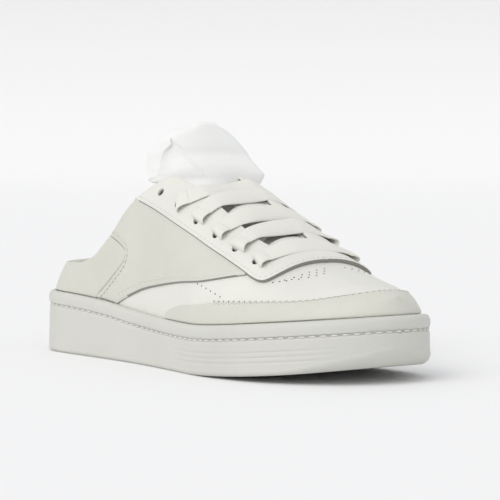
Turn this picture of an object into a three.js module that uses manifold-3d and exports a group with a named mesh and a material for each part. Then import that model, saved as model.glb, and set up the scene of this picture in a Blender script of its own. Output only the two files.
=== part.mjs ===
// Lace-up leather mule on a cup sole, right foot, about EU size 39.
// Millimetres. +X runs to the toe, +Y to the inner side of the foot and +Z up.
// The origin is on the floor, at the middle of the flat disc under the heel.
import * as THREE from "three";
import { mergeVertices } from "three/addons/utils/BufferGeometryUtils.js";
import Module from "manifold-3d";

const wasm = await Module();
wasm.setup();

// Driving dimensions of the sole
const LENGTH = 278;
const BALL_WIDTH = 101;
const HEEL_WIDTH = 75;
const HEEL_RIM = 34; // floor to rim at the heel
const BALL_RIM = 26; // tread to rim from the ball forward
const TOE_SPRING = 8.6;
const RIM_WIDTH = 4.5;
const RIM_TOP = 2; // outline to the highest line of the rim
const RIM_BAND = 7.5; // rim top down to the stitch groove
const GROOVE = 0.9; // depth of the stitch groove
const RIB = 0.5; // depth of the grooves between the side ribs
const RIB_PITCH = 2.6;
const EDGE_ROUND = 2.2; // lower edge of the side
const TOE_BUMPER = 7.5; // what the toe's lower edge adds to that
const TREAD = 1.6; // depth of the tread
const TREAD_BORDER = 7;
const TREAD_PITCH = 11;
const TREAD_GROOVE = 2.4;
const BALL_DISC = 13.5; // radius of the flat pivot disc behind the toe spring
const HEEL_DISC = 13;

// Driving dimensions of the upper
const FEATHER_DEPTH = 7; // how far the upper reaches down inside the rim
const INSTEP_HEIGHT = 84.5; // feather line to the ridge, at the top of the instep
const WALL = 1.8;
const QUARTER_LEATHER = 1.2;
const COUNTER_LEATHER = 1.6;
const GUARD_LEATHER = 1.2;
const EYESTAY_LEATHER = 2;
const THROAT_WIDTH = 29;
const EYELET_HOLE = 4.2;
const INSOLE = 5;
const TONGUE_WIDTH = 68;
const TONGUE_PAD = 9;
const LACE_WIDTH = 10;
const LACE_THICKNESS = 1.1;
const LACE_DIP = 2.6; // how far a taut bar sinks below the arch of the edges between them
const GAP = 0.3;

// Places along the shoe, as shares of its length from the back of the heel
const HEEL_CENTRE = 0.137;
const BALL_CENTRE = 0.57;
const HEEL_CAP = 0.135;
const TOE_CAP = 0.235;
const TOE_POWER = 2.15;
const SPRING_START = 0.62;
const SPRING_POWER = 1.5;

const STATIONS = 29;
const ACROSS = 8; // steps from the ridge down each side

// Outline of the sole. The half width is heel and ball shares of the two half widths.
const PLAN = [
  { share: 0, centre: 0, heel: 1.0, ball: 0.0 },
  { share: 0.16, centre: 0, heel: 1.01, ball: 0.0 },
  { share: 0.3, centre: -0.01, heel: 0.99, ball: 0.0 },
  { share: 0.44, centre: -0.025, heel: 0.6, ball: 0.3 },
  { share: 0.56, centre: -0.02, heel: 0.2, ball: 0.7 },
  { share: 0.68, centre: 0, heel: 0, ball: 0.98 },
  { share: 0.78, centre: 0.025, heel: 0, ball: 1.0 },
  { share: 0.9, centre: 0.065, heel: 0, ball: 0.96 },
  { share: 1.0, centre: 0.09, heel: 0, ball: 0.91 },
];

// How much of the step from the ball's rim to the heel's rim is left
const RIM = [
  { share: 0, step: 1.0 },
  { share: 0.15, step: 0.94 },
  { share: 0.3, step: 0.62 },
  { share: 0.42, step: 0.19 },
  { share: 0.52, step: 0.0 },
  { share: 0.85, step: 0.0 },
  { share: 1.0, step: -0.06 },
];

// The last: ridge height over the feather line, its drift to the inner side, and the fullness
// of the section at the sides and at the ridge.
const LAST = [
  { share: 0, ridge: 0.39, drift: 0, side: 2.2, top: 2.2 },
  { share: 0.1, ridge: 0.465, drift: 0, side: 2.3, top: 2.2 },
  { share: 0.2, ridge: 0.69, drift: 0, side: 2.5, top: 2.3 },
  { share: 0.3, ridge: 0.905, drift: 0.01, side: 2.8, top: 2.5 },
  { share: 0.38, ridge: 0.975, drift: 0.025, side: 3.0, top: 2.8 },
  { share: 0.48, ridge: 0.935, drift: 0.04, side: 3.0, top: 3.0 },
  { share: 0.58, ridge: 0.8, drift: 0.055, side: 2.8, top: 2.8 },
  { share: 0.68, ridge: 0.625, drift: 0.06, side: 2.5, top: 2.4 },
  { share: 0.78, ridge: 0.458, drift: 0.055, side: 2.3, top: 2.1 },
  { share: 0.88, ridge: 0.33, drift: 0.07, side: 2.3, top: 2.1 },
  { share: 0.95, ridge: 0.26, drift: 0.085, side: 2.4, top: 2.2 },
  { share: 1.0, ridge: 0.18, drift: 0.09, side: 2.5, top: 2.3 },
];
const HEEL_LEAN = 0.45;
const HEEL_LEAN_END = 0.35;
const TOE_LEAN = 0.3;
const TOE_LEAN_START = 0.75;

// Lines seen from the side: place along the shoe, and height over the feather line as a share
// of the instep height.
const COLLAR = [
  { share: 0, rise: 0.265 },
  { share: 0.07, rise: 0.262 },
  { share: 0.145, rise: 0.278 },
  { share: 0.187, rise: 0.297 },
  { share: 0.226, rise: 0.348 },
  { share: 0.247, rise: 0.406 },
  { share: 0.27, rise: 0.477 },
  { share: 0.292, rise: 0.56 },
  { share: 0.314, rise: 0.665 },
  { share: 0.338, rise: 0.75 },
];
const EYESTAY_EDGE = [
  { share: 0.338, rise: 0.75 },
  { share: 0.41, rise: 0.722 },
  { share: 0.495, rise: 0.66 },
  { share: 0.575, rise: 0.586 },
  { share: 0.65, rise: 0.5 },
  { share: 0.7, rise: 0.432 },
  { share: 0.73, rise: 0.388 },
  { share: 0.755, rise: 0.35 },
  { share: 0.776, rise: 0.325 },
  { share: 0.79, rise: 0.324 },
  { share: 0.799, rise: 0.354 },
  { share: 0.803, rise: 0.4 },
  { share: 0.805, rise: 0.5 },
];
const QUARTER_EDGE = [
  { share: 0.3, rise: 0.0 },
  { share: 0.31, rise: 0.05 },
  { share: 0.325, rise: 0.09 },
  { share: 0.37, rise: 0.162 },
  { share: 0.435, rise: 0.24 },
  { share: 0.55, rise: 0.312 },
  { share: 0.645, rise: 0.34 },
  { share: 0.722, rise: 0.366 },
];
const GUARD_EDGE = [
  { share: 0.505, rise: 0.0 },
  { share: 0.514, rise: 0.108 },
  { share: 0.53, rise: 0.143 },
  { share: 0.572, rise: 0.178 },
  { share: 0.655, rise: 0.205 },
  { share: 0.7, rise: 0.21 },
  { share: 0.79, rise: 0.203 },
  { share: 0.88, rise: 0.195 },
  { share: 0.935, rise: 0.21 },
  { share: 1.0, rise: 0.24 },
];
const COUNTER_EDGE = [
  { share: 0.27, rise: 0.5 },
  { share: 0.317, rise: 0.464 },
  { share: 0.342, rise: 0.432 },
  { share: 0.345, rise: 0.38 },
  { share: 0.327, rise: 0.312 },
  { share: 0.283, rise: 0.19 },
  { share: 0.25, rise: 0.1 },
  { share: 0.235, rise: 0.0 },
];

// Throat seen from above: place along the shoe and half width as a share of the throat's.
const THROAT = [
  { share: 0.32, half: 1.9 },
  { share: 0.345, half: 1.7 },
  { share: 0.378, half: 1.49 },
  { share: 0.405, half: 1.2 },
  { share: 0.425, half: 1.02 },
  { share: 0.46, half: 1.0 },
  { share: 0.6, half: 1.0 },
  { share: 0.69, half: 0.97 },
  { share: 0.735, half: 0.78 },
  { share: 0.757, half: 0.42 },
  { share: 0.764, half: 0.0 },
];

// Eyelets from the ankle to the toe: place along the shoe and turn round the section,
// from 0 at the ridge to 1 at the feather line.
const EYELETS = [
  { share: 0.42, turn: 0.43 },
  { share: 0.487, turn: 0.46 },
  { share: 0.557, turn: 0.465 },
  { share: 0.62, turn: 0.437 },
  { share: 0.68, turn: 0.41 },
  { share: 0.738, turn: 0.395 },
];

// Bars of the lace: the eyelet each starts at, how far its middle lies ahead of it, and how far
// it sinks as a share of the dip.
const LACE_BARS = [
  { eyelet: 1, ahead: 0.04, dip: 1.2 },
  { eyelet: 2, ahead: 0.006, dip: 0.6 },
  { eyelet: 3, ahead: 0.007, dip: 0.4 },
  { eyelet: 4, ahead: -0.004, dip: 0.4 },
  { eyelet: 5, ahead: 0.01, dip: 0 },
];

// Tongue from its seam at the vamp to its top: place along the shoe, height over the feather
// line, half widths to the outer and inner side, how far the outer and inner edges lie back, sag
// of the edges, all as shares of its width, thickness as a share of its pad, and how far the row
// has taken up the twist and shift.
const TONGUE = [
  { share: 0.775, rise: 0.425, outer: 0.27, inner: 0.27, back: 0.06, fore: 0.06, sag: 0, pad: 0.25, twist: 0 },
  { share: 0.7, rise: 0.53, outer: 0.31, inner: 0.31, back: 0.075, fore: 0.075, sag: 0, pad: 0.33, twist: 0 },
  { share: 0.61, rise: 0.682, outer: 0.32, inner: 0.32, back: 0.08, fore: 0.08, sag: 0, pad: 0.4, twist: 0 },
  { share: 0.53, rise: 0.81, outer: 0.3, inner: 0.3, back: 0.075, fore: 0.075, sag: 0, pad: 0.45, twist: 0 },
  { share: 0.49, rise: 0.868, outer: 0.24, inner: 0.22, back: 0.06, fore: 0.06, sag: 0, pad: 0.5, twist: 0.2 },
  { share: 0.462, rise: 0.92, outer: 0.27, inner: 0.2, back: 0.1, fore: 0.06, sag: 0, pad: 0.6, twist: 0.6 },
  { share: 0.455, rise: 0.97, outer: 0.35, inner: 0.25, back: 0.14, fore: 0.04, sag: 0, pad: 0.7, twist: 0.9 },
  { share: 0.454, rise: 1.015, outer: 0.37, inner: 0.47, back: 0.15, fore: 0, sag: 0.06, pad: 0.8, twist: 1 },
  { share: 0.452, rise: 1.05, outer: 0.37, inner: 0.48, back: 0.15, fore: 0, sag: 0.07, pad: 0.9, twist: 1 },
  { share: 0.45, rise: 1.09, outer: 0.37, inner: 0.435, back: 0.14, fore: 0, sag: 0.07, pad: 1.0, twist: 1 },
  { share: 0.448, rise: 1.14, outer: 0.343, inner: 0.385, back: 0.13, fore: 0, sag: 0.06, pad: 1.0, twist: 1 },
  { share: 0.445, rise: 1.19, outer: 0.31, inner: 0.325, back: 0.1, fore: 0, sag: 0.04, pad: 0.95, twist: 1 },
  { share: 0.443, rise: 1.235, outer: 0.225, inner: 0.25, back: 0.06, fore: 0, sag: 0.02, pad: 0.8, twist: 1 },
  { share: 0.442, rise: 1.265, outer: 0.115, inner: 0.13, back: 0.02, fore: 0, sag: 0, pad: 0.5, twist: 1 },
];
const TONGUE_TWIST = 0.38; // turn of the tongue's free top towards the outer side, in radians
const TONGUE_SHIFT = 3.5; // its shift to the inner side

// Smooth value of a table's column at a share of the shoe's length.
function column(table, name, share) {
  const last = table.length - 1;
  const at = Math.min(Math.max(share, table[0].share), table[last].share);
  let i = 0;
  while (i < last - 1 && at >= table[i + 1].share) i += 1;
  const width = (k) => table[k + 1].share - table[k].share;
  const slope = (k) => (table[k + 1][name] - table[k][name]) / width(k);
  const tangent = (k) => {
    if (k === 0) return slope(0);
    if (k === last) return slope(last - 1);
    return (slope(k - 1) * width(k) + slope(k) * width(k - 1)) / (width(k - 1) + width(k));
  };
  const u = (at - table[i].share) / width(i);
  const squared = u * u;
  const cubed = squared * u;
  return (
    (2 * cubed - 3 * squared + 1) * table[i][name] +
    (cubed - 2 * squared + u) * width(i) * tangent(i) +
    (3 * squared - 2 * cubed) * table[i + 1][name] +
    (cubed - squared) * width(i) * tangent(i + 1)
  );
}

const clamp = (value) => Math.min(Math.max(value, 0), 1);

// Lengthwise place of a share, for an outline pulled in by an inset
const along = (share, inset = 0) => (share - HEEL_CENTRE) * LENGTH + inset * (1 - 2 * share);

// Rounding of both ends: 0 at the tips and 1 between the caps
function ends(share) {
  const heel = clamp((HEEL_CAP - share) / HEEL_CAP);
  const toe = clamp((share - 1 + TOE_CAP) / TOE_CAP);
  return Math.sqrt(1 - heel * heel) * (1 - toe ** TOE_POWER) ** (1 / TOE_POWER);
}

const centre = (share) => column(PLAN, "centre", share) * BALL_WIDTH;

function halfWidth(share, inset) {
  const full = column(PLAN, "heel", share) * HEEL_WIDTH + column(PLAN, "ball", share) * BALL_WIDTH;
  return (full / 2 - inset) * ends(share);
}

const tread = (share) =>
  TOE_SPRING * clamp((share - SPRING_START) / (1 - SPRING_START)) ** SPRING_POWER;
const rim = (share) =>
  tread(share) + BALL_RIM + column(RIM, "step", share) * (HEEL_RIM - BALL_RIM);
const feather = (share) => rim(share) - FEATHER_DEPTH;

// Point on the last, grown by an offset. turn is -1 at the outer feather line, 0 at the ridge
// and 1 at the inner feather line.
function skin(share, turn, offset = 0) {
  const angle = (Math.abs(turn) * Math.PI) / 2;
  const wide = Math.sin(angle) ** (2 / column(LAST, "side", share));
  const high = Math.cos(angle) ** (2 / column(LAST, "top", share));
  const low = feather(share);
  const ridge = column(LAST, "ridge", share) * INSTEP_HEIGHT + offset;
  const z = low + ridge * (Math.abs(turn) >= 1 ? 0 : high);
  const drift = column(LAST, "drift", share) * BALL_WIDTH;
  const middle = centre(share) + (drift - centre(share)) * high * high;
  const half = halfWidth(share, RIM_WIDTH - offset);
  const above = Math.max(z - rim(share), 0);
  const heelLean = HEEL_LEAN * clamp(1 - share / HEEL_LEAN_END) ** 2;
  const toeLean = TOE_LEAN * clamp((share - TOE_LEAN_START) / (1 - TOE_LEAN_START)) ** 2;
  const x = along(share, RIM_WIDTH - offset) + (heelLean - toeLean) * above;
  return new THREE.Vector3(x, middle + Math.sign(turn) * half * wide, z);
}

// Outward direction of the last's surface
function outward(share, turn) {
  const step = 0.004;
  const lengthwise = skin(share + step, turn).sub(skin(share - step, turn));
  const crosswise = skin(share, turn + step).sub(skin(share, turn - step));
  return lengthwise.cross(crosswise).normalize();
}

// A share for each station, closer together at heel and toe
function stations(count) {
  const list = [];
  for (let i = 0; i < count; i += 1) list.push((1 - Math.cos((Math.PI * i) / (count - 1))) / 2);
  return list;
}

// Closed surface through rows of points. Each row is a closed loop, and its ends may be capped
// by strips between the loop's two sides.
function loft(rows, capped) {
  const positions = rows.flat().flatMap((p) => [p.x, p.y, p.z]);
  const round = rows[0].length;
  const faces = [];
  const face = (a, b, c) => faces.push(a, b, c);
  for (let r = 0; r < rows.length - 1; r += 1) {
    for (let c = 0; c < round; c += 1) {
      const a = r * round + c;
      const b = r * round + ((c + 1) % round);
      face(a, b, b + round);
      face(a, b + round, a + round);
    }
  }
  if (capped) {
    const top = (rows.length - 1) * round;
    for (let i = 1; i <= round / 2; i += 1) {
      const [a, b] = [i - 1, i];
      const [d, e] = [(round - i + 1) % round, round - i];
      face(b, a, d);
      face(b, d, e);
      face(top + a, top + b, top + d);
      face(top + b, top + e, top + d);
    }
  }
  return solid(positions, faces);
}

// A closed solid from loose triangles: equal corners are joined, flat triangles are dropped and
// the faces are turned out.
function solid(positions, faces) {
  let geometry = new THREE.BufferGeometry();
  geometry.setAttribute("position", new THREE.Float32BufferAttribute(positions, 3));
  geometry.setIndex(faces);
  geometry = mergeVertices(geometry, 1e-4);
  const index = geometry.index.array;
  const kept = [];
  for (let i = 0; i < index.length; i += 3) {
    const [a, b, c] = [index[i], index[i + 1], index[i + 2]];
    if (a !== b && b !== c && c !== a) kept.push(a, b, c);
  }
  const array = geometry.getAttribute("position").array;
  const volume = signedVolume(array, kept);
  if (volume < 0) kept.reverse();
  return manifold(array, kept);
}

function signedVolume(array, faces) {
  const corner = (k) => new THREE.Vector3().fromArray(array, 3 * faces[k]);
  let total = 0;
  for (let i = 0; i < faces.length; i += 3)
    total += corner(i).dot(corner(i + 1).cross(corner(i + 2)));
  return total;
}

function manifold(array, faces) {
  return new wasm.Manifold(
    new wasm.Mesh({
      numProp: 3,
      vertProperties: new Float32Array(array),
      triVerts: new Uint32Array(faces),
    }),
  );
}

// A three.js geometry as a solid
function cut(geometry) {
  geometry.deleteAttribute("normal");
  geometry.deleteAttribute("uv");
  const merged = mergeVertices(geometry, 1e-4);
  return manifold(merged.getAttribute("position").array, merged.index.array);
}

// Ring of points round the sole's outline, outer side from heel to toe and back on the inner side
function ring(inset, height, count = STATIONS) {
  const shares = stations(count);
  const point = (share, side) => {
    const pull = inset(share);
    const y = centre(share) + side * halfWidth(share, pull);
    return new THREE.Vector3(along(share, pull), y, height(share));
  };
  const outer = shares.map((share) => point(share, -1));
  const inner = shares.slice(1, -1).map((share) => point(share, 1));
  return [...outer, ...inner.reverse()];
}

const even = (value) => () => value;

// The whole last, grown by an offset and reaching below the feather line by a drop
function form(offset, drop = 0) {
  const rows = stations(STATIONS).map((share) => {
    const row = [];
    for (let k = -ACROSS; k <= ACROSS; k += 1) row.push(skin(share, k / ACROSS, offset));
    const [first, last] = [row[0], row[row.length - 1]];
    if (drop > 0) {
      row.push(last.clone().setZ(last.z - drop));
      row.push(first.clone().setZ(first.z - drop));
    }
    return row;
  });
  return loft(rows, false);
}

// Block of the sole's outline up to the rim, a little larger all round
function rimBlock() {
  const top = (share) => rim(share) + GAP;
  const rows = [
    ring(even(-RIM_WIDTH), even(-TOE_SPRING)),
    ring(even(-RIM_WIDTH), top),
    ring(even(RIM_TOP), top),
    ring(even(RIM_WIDTH), top),
  ];
  return loft(rows, true);
}

// A side view point of a table's row
const sidePoint = (row, dx = 0, dz = 0) =>
  new THREE.Vector2(along(row.share) + dx, feather(row.share) + row.rise * INSTEP_HEIGHT + dz);

// Smooth run of side view points
function sideLine(table, dx = 0, dz = 0, steps = 24) {
  const curve = new THREE.SplineCurve(table.map((row) => sidePoint(row, dx, dz)));
  return curve.getPoints(steps);
}

// Prism over a side view outline, across the whole shoe or on one side of it
function sidePrism(points, side = 0) {
  const depth = BALL_WIDTH;
  const geometry = new THREE.ExtrudeGeometry(new THREE.Shape(points), {
    depth: side === 0 ? 2 * depth : depth,
    bevelEnabled: false,
  });
  if (side >= 0) geometry.translate(0, 0, -depth);
  return cut(geometry.rotateX(Math.PI / 2));
}

const BACK = along(0) - HEEL_WIDTH;
const FRONT = along(1) + HEEL_WIDTH;
const TOP = HEEL_RIM + 2 * INSTEP_HEIGHT;
const corner = (x, z) => new THREE.Vector2(x, z);

// What is open: the space over the collar line, and the throat seen from above
function opening(clearance = 0) {
  const line = sideLine(COLLAR, 0, -clearance);
  const over = [
    corner(BACK, line[0].y),
    ...line,
    corner(along(THROAT[1].share), TOP),
    corner(BACK, TOP),
  ];
  const half = (row) => (row.half * THROAT_WIDTH) / 2 + clearance;
  const plan = THROAT.map((row) => new THREE.Vector2(along(row.share) + clearance, half(row)));
  plan[plan.length - 1].y = 0;
  const edge = new THREE.SplineCurve(plan).getPoints(26);
  const mirrored = edge.slice(0, -1).map((p) => new THREE.Vector2(p.x, -p.y));
  const throat = new THREE.ExtrudeGeometry(new THREE.Shape([...edge, ...mirrored.reverse()]), {
    depth: TOP,
    bevelEnabled: false,
  });
  return sidePrism(over).add(cut(throat.translate(0, 0, HEEL_RIM / 2)));
}

// Round cutter through the wall at an eyelet
function eyeletCutter(eyelet, side) {
  const turn = side * eyelet.turn;
  const reach = 4 * EYESTAY_LEATHER;
  const drill = new THREE.CylinderGeometry(EYELET_HOLE / 2, EYELET_HOLE / 2, reach, 8);
  const up = new THREE.Vector3(0, 1, 0);
  drill.applyQuaternion(new THREE.Quaternion().setFromUnitVectors(up, outward(eyelet.share, turn)));
  const place = skin(eyelet.share, turn);
  return cut(drill.translate(place.x, place.y, place.z));
}

function eyelets() {
  const cutters = EYELETS.flatMap((eyelet) => [eyeletCutter(eyelet, -1), eyeletCutter(eyelet, 1)]);
  return cutters.reduce((sum, cutter) => sum.add(cutter));
}

// Sole

// Bump between two shares of the length that fades in and out over a fade
const between = (share, from, to, fade) =>
  clamp((share - from) / fade) * clamp((to - share) / fade);

const FLARE = 0.8; // what the side leans in from tread to rim
const RIBS = 3;
const RIBS_FROM = 0.6;
const RIBS_TO = 0.95;
const RIB_FADE = 0.04;

function soleRows() {
  const edge = (share) => EDGE_ROUND + TOE_BUMPER * clamp((share - 0.86) / 0.14) ** 1.5;
  const groove = (share) => rim(share) - RIM_BAND;
  const rows = [
    ring((s) => edge(s), tread),
    ring((s) => 0.3 * edge(s), (s) => tread(s) + 0.3 * edge(s)),
    ring(even(0), (s) => tread(s) + edge(s)),
  ];
  for (let k = 0; k < RIBS; k += 1) {
    const lift = (s) => tread(s) + 0.36 * (groove(s) - tread(s)) + k * RIB_PITCH;
    const lean = (s) => (FLARE * (lift(s) - tread(s))) / (rim(s) - tread(s));
    const depth = (s) => lean(s) + RIB * between(s, RIBS_FROM, RIBS_TO, RIB_FADE);
    if (k === 0) rows.push(ring(lean, (s) => lift(s) - RIB_PITCH / 2));
    rows.push(ring(depth, lift));
    rows.push(ring(lean, (s) => lift(s) + RIB_PITCH / 2));
  }
  rows.push(
    ring(even(FLARE), (s) => groove(s) - GROOVE),
    ring(even(FLARE + GROOVE), groove),
    ring(even(0.5 * FLARE), (s) => groove(s) + GROOVE),
    ring(even(0.25 * FLARE), (s) => rim(s) - 0.45 * RIM_BAND),
    ring(even(FLARE), (s) => rim(s) - 0.16 * RIM_BAND),
    ring(even(RIM_TOP), rim),
    ring(even(RIM_WIDTH - 2 * GAP), (s) => rim(s) - GAP),
    ring(even(RIM_WIDTH - GAP), (s) => rim(s) - 2 * GAP),
    ring(even(RIM_WIDTH - GAP), (s) => feather(s) - GAP),
  );
  return rows;
}

// Upright cylinder or tube cutter on the tread
function discCutter(share, radius) {
  const disc = new THREE.CylinderGeometry(radius, radius, 4 * TREAD, 36);
  return cut(disc.rotateX(Math.PI / 2).translate(along(share), centre(share), 0));
}

function treadCutter() {
  const inside = loft(
    [
      ring(even(TREAD_BORDER), (s) => tread(s) - 2 * TREAD),
      ring(even(TREAD_BORDER), (s) => tread(s) + TREAD),
    ],
    true,
  );
  let grooves = null;
  const count = Math.floor(LENGTH / TREAD_PITCH);
  for (let i = 1; i < count; i += 1) {
    const share = i / count;
    const wide = share > 0.38 && share < 0.5;
    const bar = new THREE.BoxGeometry(wide ? TREAD_PITCH : TREAD_GROOVE, 2 * BALL_WIDTH, 4 * TREAD);
    const part = cut(bar.translate(along(share), 0, tread(share)));
    grooves = grooves ? grooves.add(part) : part;
  }
  const heel = discCutter(HEEL_CENTRE, HEEL_DISC);
  const ball = discCutter(BALL_CENTRE, BALL_DISC);
  const heelRing = discCutter(HEEL_CENTRE, HEEL_DISC + TREAD_GROOVE).subtract(heel);
  const ballRing = discCutter(BALL_CENTRE, BALL_DISC + TREAD_GROOVE).subtract(ball);
  return grooves.subtract(heel).subtract(ball).add(heelRing).add(ballRing).intersect(inside);
}

function outsole() {
  return loft(soleRows(), true).subtract(treadCutter());
}

// Footbed with a cupped edge, clear of the upper's wall
function insole() {
  const side = RIM_WIDTH + WALL + 2 * GAP;
  const shell = (s) => feather(s) + INSOLE;
  return loft(
    [
      ring(even(side + 1), feather),
      ring(even(side), (s) => feather(s) + 1),
      ring(even(side + 1.3), (s) => shell(s) + 1),
      ring(even(side + 2.6), (s) => shell(s) + 1.4),
      ring(even(side + 9), shell),
    ],
    true,
  );
}

// Upper and its overlays

const LINING_DROP = 12; // how far the inner form reaches below the feather line
const open = opening();
const rims = rimBlock();

function upper() {
  return form(0).subtract(form(-WALL, LINING_DROP)).subtract(open).subtract(eyelets());
}

// Layer of leather over the upper, inside a region and above the rim
function overlay(region, leather) {
  return form(leather + GAP).subtract(form(GAP, LINING_DROP)).intersect(region)
    .subtract(rims).subtract(open);
}

function heelCounter() {
  const line = sideLine(COUNTER_EDGE, -GAP);
  const region = sidePrism([corner(BACK, 0), corner(BACK, line[0].y), ...line, corner(line.at(-1).x, 0)]);
  return overlay(region, COUNTER_LEATHER);
}

function quarter(side) {
  const back = sideLine(COUNTER_EDGE).reverse();
  const top = sideLine(EYESTAY_EDGE.slice(0, 6), 0, -1.5 * GAP);
  const front = sideLine(QUARTER_EDGE).reverse();
  const first = corner(front.at(-1).x, 0);
  const region = [corner(back[0].x, 0), ...back, ...top, ...front, first];
  return overlay(sidePrism(region, side), QUARTER_LEATHER);
}

function toeGuard() {
  const line = sideLine(GUARD_EDGE, 0, 0, 32);
  const region = [corner(line[0].x, 0), ...line, corner(FRONT, line.at(-1).y), corner(FRONT, 0)];
  return overlay(sidePrism(region), GUARD_LEATHER);
}

function eyestay() {
  const line = sideLine(EYESTAY_EDGE, 0, 0, 36);
  const region = [...line, corner(line.at(-1).x, TOP), corner(line[0].x, TOP)];
  return overlay(sidePrism(region), EYESTAY_LEATHER).subtract(eyelets());
}

// Padded tongue: rows across from seam to top, each an oval slab bent over the instep
function tongue() {
  const places = TONGUE.map((row) => {
    const drift = column(LAST, "drift", row.share) * BALL_WIDTH;
    const y = drift + (TONGUE_SHIFT - drift) * row.twist;
    return new THREE.Vector3(along(row.share), y, feather(row.share) + row.rise * INSTEP_HEIGHT);
  });
  const rows = TONGUE.map((row, r) => {
    const before = places[Math.max(r - 1, 0)];
    const after = places[Math.min(r + 1, TONGUE.length - 1)];
    const run = after.clone().sub(before).setY(0).normalize();
    const up = new THREE.Vector3(run.z, 0, -run.x);
    const twist = row.twist * TONGUE_TWIST;
    const sideways = new THREE.Vector3(Math.sin(twist), Math.cos(twist), 0);
    return tongueSection(places[r], up, sideways, row);
  });
  return loft(rows, true);
}

const TONGUE_ROUND = 18;

// Oval loop of one row of the tongue, its outer face through the row's place
function tongueSection(place, up, sideways, row) {
  const points = [];
  for (let k = 0; k < TONGUE_ROUND; k += 1) {
    const angle = (2 * Math.PI * k) / TONGUE_ROUND;
    const u = Math.cos(angle);
    const v = Math.sign(Math.sin(angle)) * Math.abs(Math.sin(angle)) ** 0.7;
    const lie = u < 0 ? row.back : row.fore;
    const drop = lie * TONGUE_WIDTH * Math.abs(u) ** 2.4;
    const point = place.clone().addScaledVector(up, (row.pad * TONGUE_PAD * (v - 1)) / 2 - drop);
    point.z -= row.sag * TONGUE_WIDTH * Math.abs(u) ** 3;
    const half = (u < 0 ? row.outer : row.inner) * TONGUE_WIDTH;
    points.push(point.addScaledVector(sideways, u * half));
  }
  return points;
}

// What tongue and laces stay clear of: the wall and the eyestay round the throat
function wallRound() {
  const wall = form(EYESTAY_LEATHER + 2 * GAP).subtract(form(-WALL - GAP));
  return wall.subtract(opening(-GAP));
}

// Laces

// Flat strip of lace along points with their outward directions
function strip(points, normals) {
  const rows = points.map((point, i) => {
    const before = points[Math.max(i - 1, 0)];
    const after = points[Math.min(i + 1, points.length - 1)];
    const side = after.clone().sub(before).cross(normals[i]).setLength(LACE_WIDTH / 2);
    const half = normals[i].clone().setLength(LACE_THICKNESS / 2);
    const low = point.clone().sub(half);
    const high = point.clone().add(half);
    return [low.clone().sub(side), low.clone().add(side), high.clone().add(side), high.clone().sub(side)];
  });
  return loft(rows, true);
}

const LACE_STEPS = 16;
const LACE_OVER = EYESTAY_LEATHER + 3 * GAP + LACE_THICKNESS / 2;
const LACE_REACH = 0.94; // how near the ends come to their eyelets, as a share of their turn

// Bar of lace from an eyelet over the throat to the one across, its middle sunk and ahead
function laceBar(bar) {
  const eyelet = EYELETS[bar.eyelet];
  const points = [];
  const normals = [];
  for (let i = 0; i <= LACE_STEPS; i += 1) {
    const u = (2 * i) / LACE_STEPS - 1;
    const share = eyelet.share + bar.ahead * (1 - Math.abs(u) ** 3);
    const turn = u * LACE_REACH * eyelet.turn;
    const inside = 1 - (Math.abs(skin(share, turn).y) / (THROAT_WIDTH / 2)) ** 2;
    points.push(skin(share, turn, LACE_OVER - bar.dip * LACE_DIP * clamp(inside)));
    normals.push(outward(share, turn));
  }
  return strip(points, normals);
}

// The shoe

const leather = (color) => new THREE.MeshStandardMaterial({ color, roughness: 0.5, metalness: 0 });

function piece(name, body, material) {
  const mesh = body.getMesh();
  const geometry = new THREE.BufferGeometry();
  geometry.setAttribute("position", new THREE.Float32BufferAttribute(mesh.vertProperties, 3));
  geometry.setIndex(new THREE.Uint32BufferAttribute(mesh.triVerts, 1));
  geometry.computeVertexNormals();
  const part = new THREE.Mesh(geometry, material);
  part.name = name;
  return part;
}

const shoe = new THREE.Group();
const rubber = new THREE.MeshStandardMaterial({ color: 0xdcdcd4, roughness: 0.62, metalness: 0 });
const textile = new THREE.MeshStandardMaterial({ color: 0xe9e8e2, roughness: 0.9, metalness: 0 });
const woven = new THREE.MeshStandardMaterial({ color: 0xe7e6dd, roughness: 0.85, metalness: 0 });

shoe.add(piece("outsole", outsole(), rubber));
shoe.add(piece("insole", insole(), textile));
shoe.add(piece("upper", upper(), leather(0xe8e7e0)));
shoe.add(piece("heel_counter", heelCounter(), leather(0xdcdcd1)));
shoe.add(piece("quarter_lateral", quarter(-1), leather(0xdcdcd1)));
shoe.add(piece("quarter_medial", quarter(1), leather(0xdcdcd1)));
shoe.add(piece("toe_guard", toeGuard(), leather(0xdbdad2)));
shoe.add(piece("eyestay", eyestay(), leather(0xe4e3da)));
const wall = wallRound();
shoe.add(piece("tongue", tongue().subtract(wall), leather(0xefefeb)));
LACE_BARS.forEach((bar, i) => {
  shoe.add(piece(`lace_bar_${i + 1}`, laceBar(bar).subtract(wall), woven.clone()));
});

export default shoe;
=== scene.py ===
"""White leather mule with a laced throat on a cup sole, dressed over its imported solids.

Sizes in the classes are millimetres. The meshes are made in metres, in the frame of the solids:
+X to the toe, +Y to the inner side of the foot, +Z up, floor at 0.
"""

import logging
import math
from collections.abc import Callable
from dataclasses import dataclass, field
from enum import Enum

import bmesh
import bpy
import numpy as np
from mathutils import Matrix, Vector, geometry


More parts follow.
